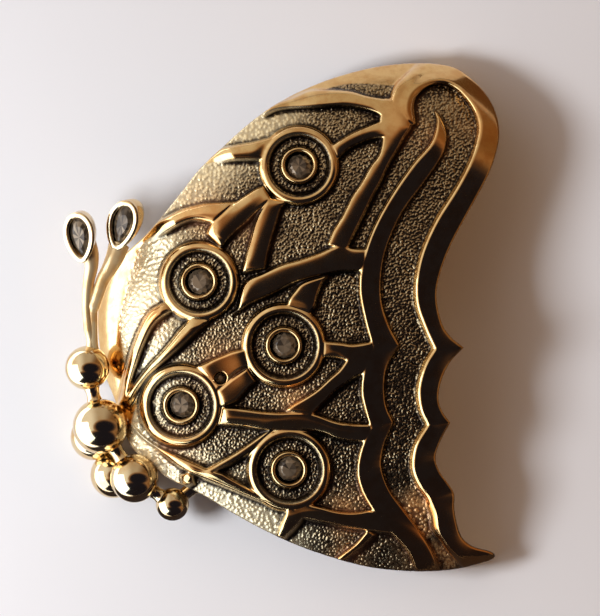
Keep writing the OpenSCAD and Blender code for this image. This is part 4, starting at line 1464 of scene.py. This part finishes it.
@dataclass
class Body:
    """The insect's body: polished beads joined by short waisted necks.

    Attributes:
        plan: the wing's plan.
        bead_z: height of the front beads' middles, in mm.
        foot_d: diameter of the two beads behind them, in mm.
        neck_d: diameter of a neck's waist, in mm.
        neck_flare: how much wider a neck is at its ends.
        neck_sink: how deep a neck goes into its beads, in mm.
        sides: how many points go round a bead.
        beads: name, percent place, diameter and height above bead_z in mm.
        feet: name and percent place of the beads behind.
        chain: which beads a neck joins.
        wing_root: percent place where the thorax joins the wing, and how far below its bead in mm.
        tail_root: the same for the tail.
    """

    plan: Plan
    bead_z: float = 4.6
    foot_d: float = 4.2
    neck_d: float = 1.2
    neck_flare: float = 1.55
    neck_sink: float = 0.5
    sides: int = 72
    beads: tuple[tuple[str, Pair, float, float], ...] = (
        ("head_bead", (-53.3, -10.5), 4.0, 0.0),
        ("thorax_bead", (-50.0, -22.2), 5.0, 0.0),
        ("abdomen_bead", (-41.5, -32.6), 4.4, 0.0),
        ("tail_bead", (-32.0, -37.8), 3.0, -0.75),
    )
    feet: tuple[tuple[str, Pair], ...] = (
        ("thorax_foot_bead", (-51.8, -24.4)), ("abdomen_foot_bead", (-46.8, -32.0)),
    )
    chain: tuple[tuple[str, str], ...] = (
        ("head_bead", "thorax_bead"), ("thorax_bead", "abdomen_bead"), ("abdomen_bead", "tail_bead"),
        ("thorax_foot_bead", "abdomen_foot_bead"),
    )
    wing_root: Triple = (-40.0, -21.0, 1.0)
    tail_root: Triple = (-25.5, -33.5, 0.375)

    def centre(self, at: tuple[float, ...], z: float) -> np.ndarray:
        """A bead's centre in mm."""
        return np.array([*self.plan.spot(at), z])

    def ball(self, centre: np.ndarray, diameter: float) -> Mesh:
        """A sphere of rows at equal angles from pole to pole, closed by a point at each."""
        a = np.linspace(0, math.pi, self.sides // 2 + 2)[1:-1]
        profile = np.column_stack([np.sin(a), -np.cos(a)]) * diameter / 2
        return turned(profile, centre, np.array([0.0, 0.0, 1.0]), self.sides)

    def neck(self, start: np.ndarray, end: np.ndarray) -> Mesh:
        """A waist between two places: its radius is a parabola, least in the middle."""
        run = end - start
        t = np.linspace(0, 1, 15)
        radius = self.neck_d / 2 * (1 + (self.neck_flare - 1) * (2 * t - 1) ** 2)
        profile = np.column_stack([radius, t * np.linalg.norm(run)])
        return turned(profile, start, run, 32)

    def build(self, material: bpy.types.Material) -> None:
        """Makes each bead, and the necks as one piece."""
        at = {}
        for name, spot, diameter, lower in self.beads:
            at[name] = (self.centre(spot, self.bead_z + lower), diameter)
        for name, spot in self.feet:
            at[name] = (self.centre(spot, self.foot_d / 2), self.foot_d)
        for name, (centre, diameter) in at.items():
            settle(self.ball(centre, diameter).build(name), material, GOLD_SLOT, CAST)
        necks = []
        for a, b in self.chain:
            (start, start_d), (end, end_d) = at[a], at[b]
            run = (end - start) / np.linalg.norm(end - start)
            necks.append(self.neck(start + run * (start_d / 2 - self.neck_sink),
                                   end - run * (end_d / 2 - self.neck_sink)))
        for name, root in (("thorax_bead", self.wing_root), ("tail_bead", self.tail_root)):
            bead = at[name][0]
            necks.append(self.neck(bead, self.centre(root, bead[2] - root[2])))
        settle(necks[0].joined(*necks[1:]).build("bead_necks"), material, GOLD_SLOT, CAST)


@dataclass
class Antenna:
    """One antenna: a curved stem that ends in a pear-shaped setting.

    Attributes:
        plan: the wing's plan.
        name: left or right.
        stem: rows of percent of the width, percent of the length, share of the climb and of the diameter.
        pear: percent place and turn in degrees.
        stone: the CAD node of the stone that it holds.
        lean: how far the setting's wall leans back along x and y over its height, in mm.
        sheen: how much duller and more matt than the beads the stem is.
        stem_d: the stem's diameter in mm.
        pear_len: length of the stone in mm.
        pear_w: its width in mm.
        pear_waist: how much its point is drawn in.
        height: of the setting, in mm.
        top: height of its rim, in mm.
        low: height at which the stem leaves the head, in mm.
        points: how many points go round the setting.
        tilt: how much the setting's face rises along x and y.
        back: the setting's wall, from its middle behind: rows of growth past the stone and height, in mm.
        rim: its rim and pocket in the same columns.
    """

    plan: Plan
    name: str
    stem: tuple[tuple[float, float, float, float], ...]
    pear: Triple
    stone: str
    lean: Pair
    sheen: tuple[float, float]
    stem_d: float = 0.95
    pear_len: float = 3.5
    pear_w: float = 1.9
    pear_waist: float = 0.45
    height: float = 2.2
    top: float = 7.6
    low: float = 4.6
    points: int = 72
    tilt: Pair = (0.42, 0.21)
    back: tuple[Pair, ...] = (
        (-0.25, -2.2), (0.1, -2.05), (0.32, -1.6), (0.44, -1.1), (0.52, -0.6), (0.55, -0.3),
    )
    rim: tuple[Pair, ...] = (
        (0.56, -0.16), (0.545, -0.09), (0.51, -0.035), (0.45, -0.005), (0.3, 0.012), (0.13, -0.01),
        (0.07, -0.04), (0.03, -0.1), (0.01, -0.2), (-0.02, -0.5), (-0.15, -0.9),
    )

    def outline(self, grow: float, points: int) -> np.ndarray:
        """The pear's outline, point down: an ellipse drawn in by the square of its distance below the top."""
        cos, sin = circle(points).T
        narrow = 1 - self.pear_waist * ((1 - sin) / 2) ** 2
        xy = np.column_stack([(self.pear_w / 2 * narrow + grow) * cos, (self.pear_len / 2 + grow) * sin])
        turn = math.radians(self.pear[2])
        spin = np.array([[math.cos(turn), -math.sin(turn)], [math.sin(turn), math.cos(turn)]])
        return xy @ spin.T + self.plan.spot(self.pear)

    def cup(self) -> Mesh:
        """The setting: a nearly flat rim round a shallow pocket, over a wall that draws in and leans back.

        Its height grows by tilt with the distance from the pear's middle, so it faces left and down.
        """
        middle, lean, tilt = self.plan.spot(self.pear), np.array(self.lean), np.array(self.tilt)
        wall_top = self.back[-1][1]
        stack = []
        for k, (grow, z) in enumerate(self.back + self.rim):
            shift = lean * (wall_top - z) / self.height if k < len(self.back) else 0
            loop = self.outline(grow, self.points) + shift
            stack.append(np.column_stack([loop, self.top + z + (loop - middle) @ tilt]))
        return loft(np.array(stack))

    def rod(self) -> Mesh:
        """The stem, swept along a curve through its sections."""
        high = self.top - self.height / 2
        table = np.array(self.stem, float)
        xy = self.plan.spot(table)
        z = self.low + table[:, 2] * (high - self.low)
        knots = np.column_stack([xy, z, table[:, 3] * self.stem_d / 2])
        path = smooth_path(knots, 90)
        return swept(path[:, :3], path[:, 3], 28)

    def build(self, stem_finish: bpy.types.Material, cup_finish: bpy.types.Material) -> None:
        """Makes the stem and the setting."""
        settle(self.rod().build(f"antenna_stem_{self.name}"), stem_finish, GOLD_SLOT, CAST)
        settle(self.cup().build(f"antenna_setting_{self.name}"), cup_finish, GOLD_SLOT, CAST)


@dataclass
class Stones:
    """Cut stones: a table, a crown of kites and triangles, a girdle and a pavilion.

    Attributes:
        plan: the wing's plan.
        dome: its ground.
        relief: its raised work.
        diameter: of a round stone, in mm.
        depth: of a round stone from table to point, in mm.
        sink: how far its table lies below the top of the raised work, in mm.
        sides: how many sides a round stone has.
        pear_depth: of a pear stone, in mm.
        pear_sides: how many sides a pear stone has.
        rows: share of the outline, share of the depth and whether the row lies on the sides' midpoints.
    """

    plan: Plan
    dome: Dome
    relief: Relief
    diameter: float = 2.3
    depth: float = 1.2
    sink: float = 0.2
    sides: int = 12
    pear_depth: float = 1.0
    pear_sides: int = 16
    rows: tuple[tuple[float, float, bool], ...] = (
        (0.56, 0.0, False), (0.84, 0.16, True), (1.0, 0.32, False), (1.0, 0.38, False), (0.55, 0.75, True),
        (0.06, 1.0, False),
    )

    def cut(self, outline: np.ndarray, axes: tuple, base: np.ndarray, depth: float) -> Mesh:
        """Facets over one outline, whose rows lie on its points or on the midpoints of its sides.

        Args:
            outline: n by 2 places about the stone's middle.
            axes: the stone's two in-plane unit vectors and its normal.
            base: the table's middle, in mm.
            depth: from table to point.

        Returns:
            The mesh, with a painted glint brightness on each of its facets: a fixed number from the direction
            each faces.
        """
        side, up, axis = axes
        between = (outline + np.roll(outline, -1, 0)) / 2
        n = len(outline)
        stack = []
        for share, down, midpoints in self.rows:
            flat = (between if midpoints else outline) * share
            stack.append(base + flat[:, :1] * side + flat[:, 1:] * up - axis * depth * down)
        index = np.arange(len(stack) * n).reshape(-1, n)
        ahead = np.roll(index, -1, 1)
        faces = []
        for k, (upper, lower) in enumerate(zip(self.rows[:-1], self.rows[1:])):
            a, a_next, b, b_next = index[k], ahead[k], index[k + 1], ahead[k + 1]
            steps_ahead = lower[2] and not upper[2]
            faces += ([(a, b, a_next), (b, b_next, a_next)] if steps_ahead
                      else [(a, b, b_next), (a, b_next, a_next)])
        top, point = np.full(n, index.size), np.full(n, index.size + 1)
        faces += [(top, index[0], ahead[0]), (point, ahead[-1], index[-1])]
        points = np.vstack([*stack, stack[0].mean(0), stack[-1].mean(0)])
        facets = points[np.vstack([np.stack(face, -1) for face in faces])]
        middle = facets.mean(1) - base
        turn = np.arctan2(middle @ up, middle @ side)
        # Painted glint: one fixed brightness for each of the facets, from the direction it faces.
        shade = lattice_hash(np.round(turn * 5), np.round(middle @ axis * 3), float(abs(base[0]) % 7))
        corners = np.arange(facets.size // 3).reshape(-1, 3)
        return Mesh(facets.reshape(-1, 3), [corners], {"facet_glint": np.repeat(shade, 3)})

    def build(self, material: bpy.types.Material, antennae: list[Antenna]) -> None:
        """Makes the round stones in the wing's rings and the pear stones in the antennae."""
        round_outline = circle(self.sides) * self.diameter / 2
        lift = self.dome.wall + self.relief.height
        for number, ring in enumerate(RINGS, 1):
            xy = self.plan.spot(ring)
            normal = self.dome.normal(xy, lift)
            top = np.array([*xy, float(self.dome.height(xy[None], lift)[0])]) - normal * self.sink
            mesh = self.cut(round_outline, frame_along(normal), top, self.depth)
            stone = mesh.build(f"round_stone_{number}", flat=True)
            settle(stone, material, GLASS_SLOT, f"wing_stone_{number}")
        for antenna in antennae:
            middle = self.plan.spot(antenna.pear)
            outline = antenna.outline(0, self.pear_sides) - middle
            slope_x, slope_y = antenna.tilt
            axes = tuple(np.array([(1, 0, slope_x), (0, 1, slope_y), (-slope_x, -slope_y, 1)], float))
            mesh = self.cut(outline, axes, np.array([*middle, antenna.top]), self.pear_depth)
            stone = mesh.build(f"pear_stone_{antenna.name}", flat=True)
            settle(stone, material, GLASS_SLOT, antenna.stone)


@dataclass(frozen=True)
class Lamp:
    """One area light, which either lights matt surfaces or shows in reflections.

    Attributes:
        name: its name.
        place: where it stands, in metres.
        size: its width and height, in metres.
        power: in watts.
        colour: its tint.
        glossy: whether it shows in reflections; otherwise it lights matt surfaces.
        target: what it faces, in metres.
    """

    name: str
    place: Triple
    size: Pair
    power: float
    colour: Colour
    glossy: bool
    target: Triple = (0, 0, 0)

    def build(self) -> None:
        """Hangs the light, which the camera never sees."""
        data = bpy.data.lights.new(self.name, "AREA")
        data.shape = "RECTANGLE"
        data.size, data.size_y = self.size
        data.energy = self.power
        data.color = self.colour
        lamp = place_object(self.name, data)
        lamp.location = self.place
        lamp.rotation_euler = (Vector(self.target) - Vector(self.place)).to_track_quat("-Z", "Y").to_euler()
        lamp.visible_glossy = self.glossy
        lamp.visible_diffuse = not self.glossy
        lamp.visible_camera = False


@dataclass(frozen=True)
class Room:
    """The dim room round the table, which only reflections and soft light show.

    Attributes:
        pale_left: colour on the left.
        pale_middle: colour towards the middle.
        warm_right: colour on the right.
        dusk: colour at the border of what is dark.
        dark: colour overhead and where the viewer stands.
    """

    pale_left: Colour = (0.95, 0.94, 0.95)
    pale_middle: Colour = (0.50, 0.43, 0.36)
    warm_right: Colour = (0.20, 0.105, 0.045)
    dusk: Colour = (0.34, 0.185, 0.095)
    dark: Colour = (0.012, 0.0112, 0.02)

    def build(self) -> None:
        """Makes the world: an oval of dark overhead, leaning right, and a dark viewer below it."""
        world = bpy.data.worlds.new("dim_room")
        world.use_nodes = True
        bpy.context.scene.world = world
        g = Graph(world.node_tree)
        split = g.node("SeparateXYZ", {}, {0: g.node("TexCoord", output="Generated")})
        x, y, z = (Socket(g, out) for out in split.out.node.outputs)
        oval = ((x - 0.27) * 1.38) ** 2 + ((y + 0.02) * 2.05) ** 2
        overhead = (1 - oval.step(0.45, 1.45)) * z.step(0.05, 0.3)
        viewer = (x * 0.10 + y * -0.90 + z * 0.42).step(0.45, 0.76)
        right = (x * 0.95 - y * 0.2).step(-0.02, 0.6)
        pale = g.mix((x * -1).step(0.1, 0.7), self.pale_middle, self.pale_left)
        pale = g.mix(right, pale, self.warm_right)
        shut = overhead.most(viewer)
        near_dark = g.mix(shut.step(0.35, 1.0), self.dusk, self.dark)
        colour = g.mix(shut.step(0.0, 0.55), pale, near_dark)
        g.end("Background", {"Color": colour, "Strength": 1.0}, "OutputWorld")


@dataclass
class Studio:
    """Pale table, one large window light and a dim room.

    Attributes:
        camera_height: of the lens above the table, in metres.
        focus: height at which the photo's scale holds, in metres.
        sensor: width of the camera's sensor, in mm.
        table_size: half the table's width, in metres.
        table_low: the table's darker tint.
        table_high: its lighter tint.
        card_lift: height of the dark cards above the table, in metres.
        daylight: tint of the light that falls on matt surfaces.
        sky: tint of what polished metal reflects from the left.
    """

    camera_height: float = 1.2
    focus: float = 0.006
    sensor: float = 36.0
    table_size: float = 2.5
    table_low: Colour = (0.79, 0.78, 0.80)
    table_high: Colour = (0.83, 0.82, 0.84)
    card_lift: float = 0.0003
    daylight: Colour = (0.93, 0.965, 1.0)
    sky: Colour = (0.64, 0.79, 1.0)

    @staticmethod
    def sheet(name: str, low: Pair, high: Pair, z: float, material: bpy.types.Material) -> bpy.types.Object:
        """A level rectangle that belongs to the studio.

        Args:
            name: its name.
            low: its lower left corner, in metres.
            high: its upper right corner, in metres.
            z: its height, in metres.
            material: its finish.

        Returns:
            The staged object.
        """
        (x0, y0), (x1, y1) = low, high
        mesh = bpy.data.meshes.new(name)
        mesh.from_pydata([(x0, y0, z), (x1, y0, z), (x1, y1, z), (x0, y1, z)], [], [(0, 1, 2, 3)])
        mesh.materials.append(material)
        flat = place_object(name, mesh)
        return flat

    def table(self) -> None:
        """A wide pale table top."""
        material, g = new_material(Look.FLOOR.value)
        colour = g.mix(g.noise(30, 3, 0.5), self.table_low, self.table_high)
        g.end("BsdfPrincipled", {"Base Color": colour, "Roughness": 0.6})
        size = self.table_size
        self.sheet("table_top", (-size, -size), (size, size), 0.0, material)

    def card(self, name: str, low: Pair, high: Pair, colour: Colour) -> None:
        """A dark card on the table that only reflections show.

        Args:
            name: its name.
            low: its lower left corner, in metres.
            high: its upper right corner, in metres.
            colour: its colour.
        """
        material, g = new_material(name)
        g.end("Emission", {"Color": colour, "Strength": 1.0})
        card = self.sheet(name, low, high, self.card_lift, material)
        card.visible_camera = card.visible_diffuse = card.visible_shadow = False

    def camera(self, box_high: np.ndarray) -> None:
        """A long lens straight above, framed by where the brooch's right and top edges lie in the photo."""
        centre_x = box_high[0] - (BROOCH_RIGHT_PX - PHOTO_W / 2) / PX_PER_MM
        centre_y = box_high[1] - (PHOTO_H / 2 - BROOCH_TOP_PX) / PX_PER_MM
        data = bpy.data.cameras.new("camera")
        data.sensor_fit = "HORIZONTAL"
        data.sensor_width = self.sensor
        data.lens = self.sensor * (self.camera_height - self.focus) / (PHOTO_W / PX_PER_MM * MM)
        data.clip_start, data.clip_end = 0.01, 10
        camera = place_object("camera", data)
        camera.location = (centre_x * MM, centre_y * MM, self.camera_height)
        bpy.context.scene.camera = camera

    def build(self, box_high: np.ndarray) -> None:
        """Sets the whole studio, with plain display of the render's colours.

        Args:
            box_high: the casting's highest corner, in mm.
        """
        self.camera(box_high)
        self.table()
        card_place = (-0.166, -0.045, 0.0004)
        for lamp in (
            Lamp("main_light", (-0.1165, -0.0205, 0.127), (0.047, 0.047), 0.27, self.daylight, False),
            Lamp("warm_room", (0.22, -0.02, 0.12), (0.2, 0.15), 0.12, (1.0, 0.5, 0.16), False),
            Lamp("window", (-0.282, -0.125, 0.113), (0.45, 0.27), 1.36, self.sky, True),
            Lamp("white_card", card_place, (0.28, 0.26), 0.8, self.sky, True, (*card_place[:2], 1.0)),
        ):
            lamp.build()
        self.card("front_card", (-0.024, -0.35), (0.35, -0.0185), (0.035, 0.028, 0.032))
        self.card("right_card", (0.0205, -0.0185), (0.35, 0.06), (0.11, 0.06, 0.03))
        Room().build()
        bpy.context.scene.view_settings.view_transform = "Standard"


def main() -> None:
    """Builds the brooch's pieces in order."""
    logging.basicConfig(level=logging.INFO, format="%(name)s: %(message)s")
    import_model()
    low, high = (np.array(v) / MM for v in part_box(CAST))
    plan = Plan(low, high)
    relief = Relief(plan)
    centre = plan.spot(DOME_AT)
    reach = float(np.hypot(*(plan.curve(OUTLINE) - centre).T).max())
    dome = Dome(centre, reach, float(high[2]) - relief.height)
    Studio().build(high)

    gold = Finish()
    bead_gold = gold.bead(Look.BEAD.value)
    Wing(plan, dome, relief).build(gold.cast())
    Body(plan).build(bead_gold)
    antennae = [
        Antenna(plan, "left", LEFT_STEM, LEFT_PEAR, "antenna_stone_1",
                lean=(0.65, 0.65), sheen=(0.2, 0.3)),
        Antenna(plan, "right", RIGHT_STEM, RIGHT_PEAR, "antenna_stone_2",
                lean=(1.2, 0.65), sheen=(0.12, 0.5)),
    ]
    for antenna in antennae:
        antenna.build(gold.bead(f"{Look.STEM.value}_{antenna.name}", *antenna.sheen), bead_gold)
    Stones(plan, dome, relief).build(StoneFinish().material(), antennae)
    pin = bpy.data.objects["brooch_pin"]
    pin.data.materials.clear()
    pin.data.materials.append(gold.bead(Look.PIN.value, dullness=0.12))


if __name__ == "__main__":
    main()
